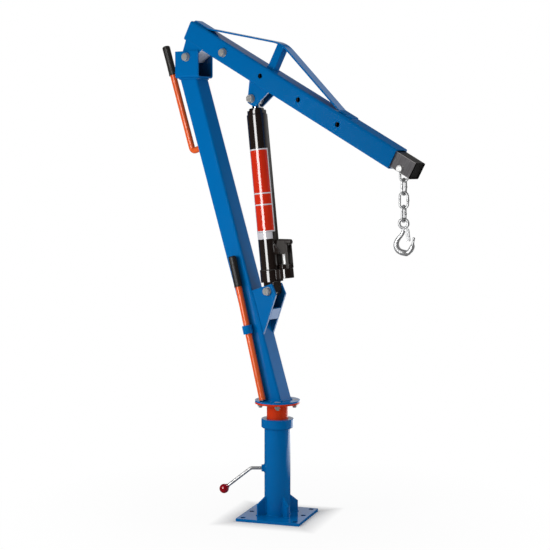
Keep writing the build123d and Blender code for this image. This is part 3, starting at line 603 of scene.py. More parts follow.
# Axes that the pieces are drawn in. ACROSS points Z across the boom.
MAST = leaning((0.0, 0.0, 0.404), -18.0)
BOOM = leaning((-0.356112, 0.0, 1.572), 28.35)
JACK = leaning((-0.018685, 0.0, 0.775404), -6.3646)
HANDLE = MAST @ Matrix.Translation((-0.084, 0.0, 0.0))
LEVER = MAST @ leaning((-0.023, -0.0523, 0.01068), 3.2)
GROUND = Matrix.Identity(4)
ACROSS = rotation(-90.0, "X")


class Shape:
    """A mesh under construction, in the axes that it is drawn in."""

    SAME = 1e-6  # distance within which the points of a finished shape are one
    COPIED = 2e-6  # the same for those of a copied node
    SEAM = 5e-5  # the same for those on both sides of a seam
    CLOSED = 1e-4  # the same for the start and the end of a closed line
    EASE_STEPS = 2  # steps across a rounded edge
    ROUND = 0.5  # profile of a rounding that follows a circle

    def __init__(self) -> None:
        """Start empty."""
        self.mesh = bmesh.new()

    @classmethod
    def of_nodes(cls, *nodes: str, seam: float | None = None) -> "Shape":
        """Start from a merged copy of a node, or of two that meet in a seam across the boom.

        Args:
            nodes: the nodes' names.
            seam: distance of the seam along the boom, or None.

        Returns:
            The copy, its flat faces whole.
        """
        copy = cls()
        mesh = copy.mesh
        for node in nodes:
            mesh.from_mesh(frame["nodes"][node].data)
        bmesh.ops.remove_doubles(mesh, verts=mesh.verts, dist=cls.COPIED)
        if seam is not None:
            inward = BOOM.inverted()
            ends = [vert for vert in mesh.verts if abs((inward @ vert.co).x - seam) < cls.SEAM]
            inside = [face for face in mesh.faces if set(ends).issuperset(face.verts)]
            bmesh.ops.delete(mesh, geom=inside, context="FACES")
            bmesh.ops.remove_doubles(mesh, verts=ends, dist=cls.SEAM)
        copy.flattened()
        return copy

    def flattened(self) -> None:
        """Join the faces of each flat side."""
        bmesh.ops.dissolve_limit(self.mesh, angle_limit=FLAT, verts=self.mesh.verts, edges=self.mesh.edges)

    def circle(self, radius: float, sides: int, at: Matrix) -> tuple[list[Vert], list[Edge]]:
        """Add a ring of edges at a place, and give its vertices and edges."""
        ring = bmesh.ops.create_circle(self.mesh, segments=sides, radius=radius, matrix=at)["verts"]
        return ring, list(dict.fromkeys(edge for vert in ring for edge in vert.link_edges))

    def block(self, middle: Point, size: Point) -> None:
        """Add a box."""
        at = Matrix.Translation(middle) @ Matrix.Diagonal((*size, 1.0))
        bmesh.ops.create_cube(self.mesh, size=1.0, matrix=at)

    def filled(self, rim: list[Edge]) -> list[Face]:
        """Fill a ring of edges."""
        return bmesh.ops.edgeloop_fill(self.mesh, edges=rim)["faces"]

    def spun(self, parts: list, angle: float, steps: int, rise: float = 0.0, merge: bool = False) -> list:
        """Spin edges about the Z axis, with a rise per step, and give those at the end of the turn."""
        return bmesh.ops.spin(
            self.mesh, geom=parts, cent=(0.0, 0.0, 0.0), axis=(0.0, 0.0, 1.0), dvec=(0.0, 0.0, rise),
            angle=angle, steps=steps, use_merge=merge, use_duplicate=False,
        )["geom_last"]

    def moved(self, held: set[Vert], at: Matrix) -> None:
        """Move what was added since some vertices were held."""
        added = [vert for vert in self.mesh.verts if vert not in held]
        bmesh.ops.transform(self.mesh, matrix=at, verts=added)

    def turned(self, outline: Outline, at: Matrix = GROUND, steps: int = Steps.MIDDLE) -> None:
        """Spin an outline about the Z axis of a place.

        Args:
            outline: radii and heights in order, from axis to axis or as a ring that closes.
            at: the place.
            steps: steps of the turn.
        """
        held = set(self.mesh.verts)
        points = [self.mesh.verts.new((radius, 0.0, height)) for radius, height in outline]
        ends = points[1:] if outline[0][0] == 0.0 else points[1:] + points[:1]
        lines = [self.mesh.edges.new(pair) for pair in zip(points, ends)]
        self.spun(points + lines, math.tau, steps, merge=True)
        self.moved(held, at)

    def wrapped(self, rows: Sequence[float], film: Pair, start: float,
                arcs: Sequence[tuple[float, int]]) -> None:
        """Wrap a film round the Z axis.

        Args:
            rows: heights at which the film's face is divided, from its lower to its upper edge.
            film: radii of its back and its face.
            start: angle that it starts at.
            arcs: angle and steps of each stretch.
        """
        inner, outer = film
        loop = [(outer, row) for row in rows] + [(inner, row) for row in reversed(rows)]
        ring = [self.mesh.verts.new((r * math.cos(start), r * math.sin(start), row)) for r, row in loop]
        rim = [self.mesh.edges.new(pair) for pair in zip(ring, ring[1:] + ring[:1])]
        self.filled(rim)
        ahead = ring + rim
        for angle, steps in arcs:
            ahead = self.spun(ahead, angle, steps)
        self.filled(picked(ahead, Edge))

    def coiled(self, radius: float, wire: float, pitch: float, turns: float, at: Matrix,
               sides: int = 6) -> None:
        """Wind a wire or a thread's ridge round the Z axis of a place.

        Args:
            radius: radius of the coil's middle line.
            wire: radius of the wire.
            pitch: rise per turn.
            turns: number of turns.
            at: the place.
            sides: sides of the wire, 3 for a thread.
        """
        held = set(self.mesh.verts)
        ring, rim = self.circle(wire, sides, Matrix.Translation((radius, 0.0, 0.0)) @ rotation(90.0, "X"))
        self.filled(rim)
        steps = round(Steps.TINY * turns)
        last = self.spun(ring + rim, math.tau * turns, steps, pitch * turns / steps)
        self.filled(picked(last, Edge))
        self.moved(held, at)

    def swept(self, stations: list[Matrix], closed: bool, sides: int = 8) -> None:
        """Draw a ring along a line.

        Args:
            stations: places and sizes of the ring, the last on the first where the line closes.
            closed: whether it closes.
            sides: sides of the ring.
        """
        first, rim = self.circle(1.0, sides, stations[0])
        ring = first
        if not closed:
            self.filled(rim)
        for last, here in zip(stations, stations[1:]):
            grown = bmesh.ops.extrude_edge_only(self.mesh, edges=rim)["geom"]
            ring = picked(grown, Vert)
            ends = set(ring)
            rim = [edge for edge in picked(grown, Edge) if ends.issuperset(edge.verts)]
            bmesh.ops.transform(self.mesh, matrix=here @ last.inverted(), verts=ring)
        if closed:
            bmesh.ops.remove_doubles(self.mesh, verts=first + ring, dist=self.CLOSED)
        else:
            self.filled(rim)

    def raised(self, faces: list[Face], by: Vector) -> None:
        """Draw flat faces out into a solid.

        Args:
            faces: the faces.
            by: how far and which way.
        """
        grown = bmesh.ops.extrude_face_region(self.mesh, geom=faces)["geom"]
        bmesh.ops.translate(self.mesh, verts=picked(grown, Vert), vec=by)
        bmesh.ops.recalc_face_normals(self.mesh, faces=self.mesh.faces)

    def strap(self, start: Vector, end: Vector, half: float, thick: float) -> None:
        """Make a flat bar with round ends, upright in the plane of X and Z.

        Args:
            start: middle of its lower round.
            end: middle of its upper round.
            half: half its width.
            thick: thickness across Y.
        """
        at = Matrix.Translation(start - Vector((0.0, thick / 2, 0.0))) @ rotation(90.0, "X")
        ring, rim = self.circle(half, Steps.TINY, at)
        upper = [vert for vert in ring if vert.co.z > start.z - self.SAME]
        bmesh.ops.translate(self.mesh, verts=upper, vec=end - start)
        self.raised(self.filled(rim), Vector((0.0, thick, 0.0)))

    def eased(self, width: float, sharp: float = SHARP, beyond: float = 0.0) -> None:
        """Round off the sharp edges.

        Args:
            width: width of the rounding.
            sharp: least angle of an edge that is rounded.
            beyond: least distance from the Z axis of an edge that is rounded.
        """
        cut = [
            edge for edge in self.mesh.edges
            if edge.calc_face_angle(0.0) > sharp and min(vert.co.xy.length for vert in edge.verts) >= beyond
        ]
        bmesh.ops.bevel(self.mesh, geom=cut, offset=width, offset_type="OFFSET",
                        segments=self.EASE_STEPS, profile=self.ROUND, affect="EDGES", material=-1,
                        clamp_overlap=False, loop_slide=False)

    def finish(self, name: str, body: str, coat: Coat, at: Matrix = GROUND,
               even: bool = False) -> bpy.types.Object:
        """Hand the shape to the frame as a piece.

        Args:
            name: the piece's name.
            body: the body that it rides on.
            coat: its finish.
            at: axes that it was drawn in.
            even: shade flat faces flat up to their rounded edges.

        Returns:
            The piece.
        """
        mesh = self.mesh
        bmesh.ops.remove_doubles(mesh, verts=mesh.verts, dist=self.SAME)
        if not even:
            bmesh.ops.recalc_face_normals(mesh, faces=mesh.faces)
        bmesh.ops.transform(mesh, matrix=at, verts=mesh.verts)
        for face in mesh.faces:
            face.smooth = True
        for edge in mesh.edges:
            edge.smooth = edge.calc_face_angle(0.0) < CREASE
        data = bpy.data.meshes.new(name)
        mesh.to_mesh(data)
        mesh.free()
        made = linked(name, data)
        if even:
            made.modifiers.new("even_shading", "WEIGHTED_NORMAL").keep_sharp = True
        data.materials.append(paint(coat))
        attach(made, body)
        log.info("piece %s on %s, %d faces", name, body, len(data.polygons))
        return made


@dataclass
class CutPieces:
    """Nodes with their cut edges rounded off, each shown as a copy in its place.

    Attributes:
        nodes: the nodes.
        width: width of the rounding.
        sharp: least angle of an edge that is rounded.
        beyond: least distance from the Z axis of an edge that is rounded.
    """

    nodes: Sequence[str]
    width: float
    sharp: float = SHARP
    beyond: float = 0.0

    def build(self) -> None:
        """Copy each node, round its edges and hide it."""
        for node in self.nodes:
            shape = Shape.of_nodes(node)
            shape.eased(self.width, self.sharp, self.beyond)
            made = shape.finish(node + "_eased", BODY_OF[node], Coat.of(node), even=True)
            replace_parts(made, node)


@dataclass
class Welds:
    """Weld beads of one sub-assembly, as one piece.

    Attributes:
        name: the piece's name.
        body: the body that it rides on.
        coat: the paint over it.
        at: axes that its lines are drawn in.
        ripple: distance between ripples.
        dip: size of a bead between its ripples, as a share of its full size.
        tip: size of its ends, as such a share.
        reach: how far to each side the line's direction is read, in ripples.
        fewest: least number of ripples of a bead.
    """

    name: str
    body: str
    coat: Coat
    at: Matrix
    ripple: float = 0.004
    dip: float = 0.84
    tip: float = 0.1
    reach: float = 0.3
    fewest: int = 3

    def __post_init__(self) -> None:
        """Start empty."""
        self.shape = Shape()

    def bead(self, points: Sequence[Point], radius: float, closed: bool = False) -> None:
        """Lay a bead along a line.

        Args:
            points: corners of the line.
            radius: half the bead's width.
            closed: whether the line goes back to its start.
        """
        line = [Vector(point) for point in points] + ([Vector(points[0])] if closed else [])
        legs = [(b - a).length for a, b in zip(line, line[1:])]
        total = sum(legs)
        count = 2 * max(self.fewest, round(total / self.ripple))
        reach = self.reach * self.ripple
        side = (line[1] - line[0]).orthogonal().normalized()
        stations = []
        for k in range(count + 1):
            here = total * k / count
            at_end = k in (0, count)
            if closed and at_end:
                ahead = line[1] - line[-2]
            else:
                ahead = self.along(line, legs, here + reach) - self.along(line, legs, here - reach)
            ahead = ahead.normalized()
            side = (side - ahead * side.dot(ahead)).normalized()
            size = radius * (self.dip if k % 2 else 1.0)
            if at_end and not closed:
                size = radius * self.tip
            turn = Matrix((side, ahead.cross(side), ahead)).transposed().to_4x4()
            place = Matrix.Translation(self.along(line, legs, here))
            stations.append(place @ turn @ Matrix.Diagonal((size, size, 1.0, 1.0)))
        if closed:
            stations[-1] = stations[0]
        self.shape.swept(stations, closed)

    @staticmethod
    def along(line: list[Vector], legs: list[float], distance: float) -> Vector:
        """Find the point at a distance along a line.

        Args:
            line: its corners.
            legs: lengths between them.
            distance: how far along.

        Returns:
            The point, on the line's first or last leg where the distance is beyond its ends.
        """
        leg = 0
        while leg < len(legs) - 1 and distance > legs[leg]:
            distance -= legs[leg]
            leg += 1
        return line[leg].lerp(line[leg + 1], distance / legs[leg])

    def ring(self, radius: float, height: float, bead: float) -> None:
        """Lay a bead round the Z axis, of a radius, height and half width."""
        self.bead([(x, y, height) for x, y in full_round(radius, Steps.MIDDLE)], bead, closed=True)

    def finish(self) -> None:
        """Hand the beads to the frame."""
        self.shape.finish(self.name, self.body, self.coat, self.at)


@dataclass
class BoltTails:
    """Threads on the ends of bolts that stand out of their nuts.

    Attributes:
        name: the piece's name.
        body: the body that it rides on.
        places: where each tail starts, all along the same way.
        turn: rotation that points Z along the bolts.
        thread: the bolts' thread.
        length: length of a tail.
        plain: length at its end without thread.
        ridge: size of the thread's ridge.
        sunk: how far the ridge's middle lies under the bolt's surface.
    """

    name: str
    body: str
    places: Sequence[Point]
    turn: Matrix
    thread: Thread = Thread.M16
    length: float = 0.005
    plain: float = 0.001
    ridge: float = 0.0008
    sunk: float = 0.0002

    def build(self) -> None:
        """Wind the threads."""
        radius, pitch = self.thread.value
        turns = (self.length - self.plain) / pitch
        shape = Shape()
        for place in self.places:
            at = Matrix.Translation(place) @ self.turn
            shape.coiled(radius - self.sunk, self.ridge, pitch, turns, at, sides=3)
        shape.finish(self.name, self.body, Coat.ZINC)


@dataclass
class Pedestal:
    """Base plate, gussets, column and collar, which stand still.

    Attributes:
        ring_beads: radius, height and half width of each weld round the column.
        gusset_root: distance from the axis from which a gusset's edges are rounded.
        gusset_weld: distance from the axis and height of the corners of a gusset's weld.
        boss_lift: how far the lock boss's weld stands off the column.
        collar_sharp: least angle of the collar's edges that are rounded.
    """

    column_r: float = 0.04445
    ring_beads: tuple[Point, ...] = ((0.04525, 0.0104, 0.0036), (0.04475, 0.3087, 0.0030))
    gusset_turns: tuple[float, ...] = (62.0, 152.0, 242.0, 332.0)
    gusset_root: float = 0.04645
    gusset_weld: Outline = ((0.04505, 0.073), (0.04505, 0.0104), (0.0777, 0.0104))
    gusset_half: float = 0.0042
    gusset_bead: float = 0.0030
    boss_turn: float = 216.0
    boss_z: float = 0.168
    boss_r: float = 0.0125
    boss_lift: float = 0.0004
    boss_bead: float = 0.0024
    edge: float = 0.0009
    collar_sharp: float = math.radians(60.0)

    def build(self) -> None:
        """Round the cut edges and lay the welds."""
        CutPieces(("base_plate", "lock_boss"), self.edge).build()
        CutPieces(("gussets",), self.edge, beyond=self.gusset_root).build()
        CutPieces(("collar",), self.edge, sharp=self.collar_sharp).build()
        welds = Welds("pedestal_welds", "pedestal", Coat.BLUE, GROUND)
        for ring in self.ring_beads:
            welds.ring(*ring)
        for turn in self.gusset_turns:
            welds.bead(self.gusset_line(turn), self.gusset_bead)
        welds.bead(self.boss_line(), self.boss_bead, closed=True)
        welds.finish()

    def gusset_line(self, turn: float) -> list[Point]:
        """Line of the weld round a gusset: down the column, round its foot and up again.

        Args:
            turn: degrees round the column.

        Returns:
            Corners of the line.
        """
        flat = [(x, self.gusset_half, z) for x, z in self.gusset_weld]
        flat += [(x, -self.gusset_half, z) for x, z in self.gusset_weld[::-1]]
        return [tuple(rotation(turn, "Z") @ Vector(point)) for point in flat]

    def boss_line(self) -> list[Point]:
        """Line of the weld round the lock boss, on the column's surface."""
        flat = [
            (math.sqrt(self.column_r**2 - y**2) + self.boss_lift, y, self.boss_z + z)
            for y, z in full_round(self.boss_r, Steps.TINY)
        ]
        return [tuple(rotation(self.boss_turn, "Z") @ Vector(point)) for point in flat]


@dataclass
class SlewLock:
    """Bent locking screw with its ball.

    Attributes:
        arm: the way of the bent arm, with X along the screw.
        ferrule_out: distance of the ferrule from the middle of the ball.
    """

    turn: float = 216.0
    height: float = 0.168
    thread_from: float = 0.0560
    thread_turns: float = 3.0
    thread_pitch: float = 0.00175
    thread_ridge: float = 0.0007
    rod_r: float = 0.0055
    arm: Point = (0.7917, 0.0, -0.6110)
    ferrule: Outline = (
        (0.0051, -0.003), (0.0076, -0.003), (0.0076, 0.0022), (0.0068, 0.0032), (0.0051, 0.0032),
    )
    ferrule_out: float = 0.0148

    def build(self) -> None:
        """Cut the thread and fit the ferrule of the ball."""
        radial = rotation(self.turn, "Z") @ Matrix.Translation((0.0, 0.0, self.height))
        outward = radial @ Matrix.Translation((self.thread_from, 0.0, 0.0)) @ rotation(90.0, "Y")
        thread = Shape()
        thread.coiled(self.rod_r, self.thread_ridge, self.thread_pitch, self.thread_turns, outward, sides=3)
        thread.finish("lock_screw_thread", "lock_lever", Coat.ZINC)
        low, high = (Vector(corner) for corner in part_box("lock_knob"))
        along = (radial.to_3x3() @ Vector(self.arm)).normalized()
        place = (low + high) / 2.0 - along * self.ferrule_out
        neck = Shape()
        neck.turned(self.ferrule, Matrix.Translation(place) @ pointing(-along), Steps.SMALL)
        neck.finish("lock_knob_ferrule", "lock_lever", Coat.BALL)


@dataclass
class Mast:
    """Flanges, leaning tube, fork, cheeks for the jack and the bolts through them.

    Attributes:
        line_half: half the width of the line round the tube.
        pivot_ring: radius, height and half width of the weld under the pivot's flange.
        end_beads: height and half width of the welds at the mast's foot and head.
        cheek_lines: distances of the cheeks' welds from the mast's axis and from its middle plane.
        handle_line: distance from the axis, radius and height of the weld of the handle's foot.
        flange_bolts: radius, degrees and height at which the flange's screws end.
        bolt_tails: where the tails of the pivot bolt and the foot bolt start.
    """

    flange_top: float = 0.404
    lean: float = 18.0
    line_half: float = 0.0354
    corner_r: float = 0.008
    pivot_ring: Point = (0.0369, 0.3916, 0.0032)
    end_beads: tuple[Pair, ...] = ((0.4044, 0.0042), (1.4996, 0.0050))
    cheek_lines: tuple[Pair, ...] = ((0.0353, 0.024), (0.0338, 0.032))
    cheek_span: Pair = (0.226, 0.375)
    handle_line: Point = (-0.0353, 0.0116, 0.914)
    bead: float = 0.0030
    flange_bolts: Point = (0.058, 35.0, 0.3815)
    bolt_tails: tuple[Point, ...] = ((-0.356112, 0.058, 1.572), (-0.018685, 0.048, 0.775404))
    edge: float = 0.0009
    bolt_edge: float = 0.0007

    def build(self) -> None:
        """Round the cut edges, lay the welds and cut the threads."""
        plates = ("pivot_flange", "mast_flange", "mast_head", "jack_cheeks", "cheek_spacer", "handle_clip")
        CutPieces(plates, self.edge).build()
        CutPieces(("flange_nuts", "pivot_bolt", "foot_bolt", "mast_nuts"), self.bolt_edge).build()
        self.welds()
        BoltTails("mast_bolt_threads", "mast", self.bolt_tails, ACROSS).build()
        radius, turn, foot = self.flange_bolts
        tails = [(x, y, foot) for x, y in arc(radius, turn, 90.0, 4)]
        BoltTails("flange_screw_threads", "mast", tails, rotation(180.0, "X"), Thread.M12).build()

    def welds(self) -> None:
        """Lay the beads of the pivot, the mast's two ends, the cheeks and the handle's foot."""
        pivot = Welds("pivot_weld", "mast", Coat.RED, GROUND)
        pivot.ring(*self.pivot_ring)
        pivot.finish()
        ends = Welds("mast_end_welds", "mast", Coat.BLUE, GROUND)
        for height, bead in self.end_beads:
            ends.bead(self.tube_line(height), bead, closed=True)
        ends.finish()
        sides = Welds("cheek_welds", "mast", Coat.BLUE, MAST)
        for out, across in self.cheek_lines:
            for y in (-across, across):
                sides.bead([(out, y, height) for height in self.cheek_span], self.bead)
        out, radius, height = self.handle_line
        foot = [(out, y, height + z) for y, z in full_round(radius, Steps.TINY)]
        sides.bead(foot, self.bead, closed=True)
        sides.finish()

    def tube_line(self, height: float) -> list[Point]:
        """Line round the leaning tube at a height.

        Args:
            height: height over the floor.

        Returns:
            Corners of the line.
        """
        slant = 1.0 / math.cos(math.radians(self.lean))
        middle = -(height - self.flange_top) * math.tan(math.radians(self.lean))
        flat = self.line_half - self.corner_r
        line = []
        for quarter, (sx, sy) in enumerate(((1, 1), (-1, 1), (-1, -1), (1, -1))):
            for x, y in arc(self.corner_r, 90.0 * quarter, 22.5, 5):
                line.append(((sx * flat + x) * slant + middle, sy * flat + y, height))
        return line


@dataclass
class HandGrip:
    """Moulded grip pushed over the end of a handle.

    Attributes:
        node: the node that it stands for.
        body: the body that it rides on.
        at: axes with Z along the handle.
        foot: height of its mouth.
        waist: how far its middle is drawn in.
    """

    node: str
    body: str
    at: Matrix
    foot: float
    length: float = 0.107
    cap: float = 0.005
    bore: float = 0.01102
    lip: Outline = ((0.0140, 0.0), (0.0147, 0.0007), (0.0147, 0.0030), (0.0139, 0.0040))
    radius: float = 0.0138
    waist: float = 0.0004
    waist_foot: float = 0.006
    waist_steps: int = 8
    dome: float = 0.006

    def build(self) -> None:
        """Turn the grip: a lip at its mouth, a slight waist and a domed end."""
        floor, shoulder = self.length - self.cap, self.length - self.dome
        shares = [k / self.waist_steps for k in range(self.waist_steps + 1)]
        waist = [
            (self.radius - self.waist * math.sin(math.pi * share),
             self.waist_foot + (shoulder - self.waist_foot) * share)
            for share in shares
        ]
        end = [(self.radius - self.dome + x, shoulder + y) for x, y in arc(self.dome, 15.0, 15.0, 6)]
        inside = [(0.0, floor), (self.bore, floor), (self.bore, 0.0)]
        shape = Shape()
        outline = [*inside, *self.lip, *waist, *end, (0.0, self.length)]
        shape.turned(outline, Matrix.Translation((0.0, 0.0, self.foot)))
        made = shape.finish(self.node + "_moulded", self.body, Coat.RUBBER, self.at)
        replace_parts(made, self.node)


@dataclass
class Boom:
    """Boom tube, brackets, stay and the bolts through them, in the boom's axes.

    Attributes:
        joint: distance along the boom at which the tube's two nodes meet.
        strap_feet: outer and inner end of the weld of each of the strap's feet.
        strut: place along the boom and half width of the strut's weld.
        web_match, web_depth: how nearly the web's faces face its way and lie in one plane.
        glare_sheet, glare_sheet_margin: thickness of the pale sheet on the web, a painted reflection, and its
            distance from the web's edges.
        bolt_tails: where the tails of the lock bolt and the upper jack bolt start.
    """

    joint: float = 0.090
    bracket: Pair = (-0.034, 0.046)
    bracket_side: float = 0.0336
    bracket_seam: float = 0.0545
    ear: Pair = (0.268, 0.358)
    ear_faces: Pair = (0.019, 0.025)
    ear_foot: float = 0.0457
    roof: float = 0.1164
    strap_half: float = 0.0202
    strap_feet: tuple[Pair, Pair] = ((-0.040, 0.006), (0.688, 0.650))
    strut: Pair = (0.322, 0.0152)
    bracket_bead: float = 0.0022
    ear_bead: float = 0.0026
    strap_bead: float = 0.0030
    web_facing: Point = (0.598, 0.0, -0.801)
    web_match: float = 0.999
    web_depth: float = 1e-4
    glare_sheet: float = 0.0006
    glare_sheet_margin: float = 0.0008
    bolt_tails: tuple[Point, ...] = ((-0.2015, 0.051, 1.58065), (-0.09095, 0.041, 1.42325))
    edge: float = 0.0009
    bracket_edge: float = 0.00045
    bolt_edge: float = 0.0007

    def build(self) -> None:
        """Round the cut edges, lay the welds and cut the threads."""
        tube = Shape.of_nodes("boom_tube", "boom_rear_tube", seam=self.joint)
        tube.eased(self.edge)
        made = tube.finish("boom_tube_whole", "boom", Coat.BLUE, even=True)
        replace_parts(made, "boom_tube", "boom_rear_tube")
        CutPieces(("jack_bracket", "stay_strap", "stay_strut"), self.edge).build()
        CutPieces(("pivot_bracket",), self.bracket_edge).build()
        CutPieces(("lock_bolt", "ram_bolt", "boom_nuts"), self.bolt_edge).build()
        self.web_glare_sheet()
        self.welds()
        BoltTails("boom_bolt_threads", "boom", self.bolt_tails, ACROSS).build()

    def web_glare_sheet(self) -> None:
        """Lay a thin pale sheet on the outer face of the bracket's web, a painted reflection."""
        shape = Shape.of_nodes("pivot_bracket")
        mesh, facing = shape.mesh, Vector(self.web_facing)
        web = [face for face in mesh.faces if face.normal.dot(facing) > self.web_match]
        outer = max(face.calc_center_median().dot(facing) for face in web)
        kept = {face for face in web if face.calc_center_median().dot(facing) > outer - self.web_depth}
        bmesh.ops.delete(mesh, geom=[face for face in mesh.faces if face not in kept], context="FACES")
        bmesh.ops.inset_region(mesh, faces=list(mesh.faces), thickness=self.glare_sheet_margin)
        bmesh.ops.delete(mesh, geom=[face for face in mesh.faces if face not in kept], context="FACES")
        shape.raised(list(mesh.faces), facing * self.glare_sheet)
        # The pale sheet is a painted reflection on the painted web, not a part.
        shape.finish("bracket_wear_plate", "boom", Coat.PAINTED_GLARE, even=True)

    def welds(self) -> None:
        """Lay the beads of the bracket, the ears, the strap's feet and the strut."""
        welds = Welds("boom_welds", "boom", Coat.BLUE, BOOM)
        for way in (-1.0, 1.0):
            seam = [(s, way * self.bracket_side, self.bracket_seam) for s in self.bracket]
            welds.bead(seam, self.bracket_bead)
            for y in self.ear_faces:
                welds.bead([(s, way * y, self.ear_foot) for s in self.ear], self.ear_bead)
        for end, inner in self.strap_feet:
            foot = [(inner, 1.0), (end, 1.0), (end, -1.0), (inner, -1.0)]
            welds.bead([(s, side * self.strap_half, self.roof) for s, side in foot], self.strap_bead)
        s, half = self.strut
        square = [(s + half, half), (s - half, half), (s - half, -half), (s + half, -half)]
        welds.bead([(x, y, self.roof) for x, y in square], self.ear_bead, closed=True)
        welds.finish()


@dataclass
class InnerBoom:
    """Sliding boom with its chain pin and end cap, in the boom's axes.

    Attributes:
        plug, plug_lap: length of the plug behind the cap and how far it runs into the cap.
        wall: distance of the plug's sides from the cap's.
        front_match: how nearly a face of the cap faces along the boom.
        pin_tail: where the tail of the chain pin starts.
    """

    end: float = 0.969
    axis_h: float = 0.081
    side: float = 0.056
    corner_r: float = 0.004
    corner_steps: int = 5
    front_match: float = 0.9
    face: float = 0.004
    plug: float = 0.008
    plug_lap: float = 0.0005
    wall: float = 0.0052
    rim: float = 0.0024
    recess: float = 0.0028
    edge: float = 0.0008
    cap_edge: float = 0.0006
    pin_tail: Point = (0.490167, 0.0385, 1.190367)

    def build(self) -> None:
        """Round the cut edges, mould the cap and cut the pin's thread."""
        CutPieces(("inner_boom", "chain_pin"), self.edge).build()
        self.cap()
        BoltTails("chain_pin_thread", "inner_boom", (self.pin_tail,), ACROSS, Thread.M12).build()

    def cap(self) -> None:
        """Mould the end cap: a rounded block, sunk in the middle of its face, with a plug behind."""
        shape = Shape()
        mesh = shape.mesh
        shape.block((self.end + self.face / 2, 0.0, self.axis_h), (self.face, self.side, self.side))
        corners = [
            edge for edge in mesh.edges
            if abs((edge.verts[0].co - edge.verts[1].co).x) > self.face / 2
        ]
        bmesh.ops.bevel(mesh, geom=corners, offset=self.corner_r, offset_type="OFFSET",
                        segments=self.corner_steps, profile=Shape.ROUND, affect="EDGES", material=-1)
        front = [face for face in mesh.faces if face.normal.x > self.front_match]
        bmesh.ops.inset_region(mesh, faces=front, thickness=self.rim)
        sunk = bmesh.ops.extrude_face_region(mesh, geom=front)["geom"]
        bmesh.ops.delete(mesh, geom=front, context="FACES")
        bmesh.ops.translate(mesh, verts=picked(sunk, Vert), vec=(-self.recess, 0.0, 0.0))
        bmesh.ops.recalc_face_normals(mesh, faces=mesh.faces)
        side = self.side - 2 * self.wall
        shape.block((self.end - self.plug / 2 + self.plug_lap, 0.0, self.axis_h), (self.plug, side, side))
        shape.eased(self.cap_edge)
        made = shape.finish("end_cap_moulded", "inner_boom", Coat.PLASTIC, BOOM, even=True)
        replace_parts(made, "end_cap")


@dataclass
class ChainAndHook:
    """Welded links, hook and its spring latch.

    Attributes:
        turns: degrees that each link's flat side is turned by.
        side: distance of a link's straight sides from its middle.
        swell, swell_half: how far a link's weld stands out, and half its length.
        right: the way that the welded sides face.
        latch_at, latch_along: middle and way of the latch's pin.
        spring_pitch: the spring's rise per turn, in radii of its wire.
    """

    turns: tuple[float, ...] = (8.0, 93.0, 17.0, 97.0)
    side: float = 0.01325
    wire: float = 0.00375
    swell: float = 0.0011
    swell_half: float = 0.0075
    right: Point = (0.8141, 0.5751, 0.0)
    latch_at: Point = (0.501443, 0.004104, 0.994267)
    latch_along: Point = (-0.34202014, 0.93969262, 0.0)
    latch_edge: float = 0.0004
    spring_r: float = 0.0031
    spring_wire: float = 0.0006
    spring_turns: float = 5.0
    spring_pitch: float = 2.2

    def build(self) -> None:
        """Swell each link at its weld, round the latch's edges and wind its spring."""
        radius, half = self.wire + self.swell, self.swell_half
        bulge = [(radius * x, half * y) for x, y in arc(1.0, -72.0, 18.0, 9)]
        for k, turn in enumerate(self.turns, 1):
            low, high = (Vector(corner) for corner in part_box(f"chain_link_{k}"))
            out = rotation(turn, "Z") @ Vector((self.side, 0.0, 0.0))
            out *= math.copysign(1.0, out.dot(Vector(self.right)))
            shape = Shape()
            outline = [(0.0, -half), *bulge, (0.0, half)]
            shape.turned(outline, Matrix.Translation((low + high) / 2.0 + out), Steps.TINY)
            shape.finish(f"chain_link_{k}_weld", f"link_{k}", Coat.GALVANISED)
        CutPieces(("hook_latch",), self.latch_edge).build()
        pitch = self.spring_pitch * self.spring_wire
        start = Matrix.Translation((0.0, 0.0, -pitch * self.spring_turns / 2))
        at = Matrix.Translation(self.latch_at) @ pointing(Vector(self.latch_along)) @ start
        spring = Shape()
        spring.coiled(self.spring_r, self.spring_wire, pitch, self.spring_turns, at)
        spring.finish("latch_spring", "latch", Coat.STEEL)


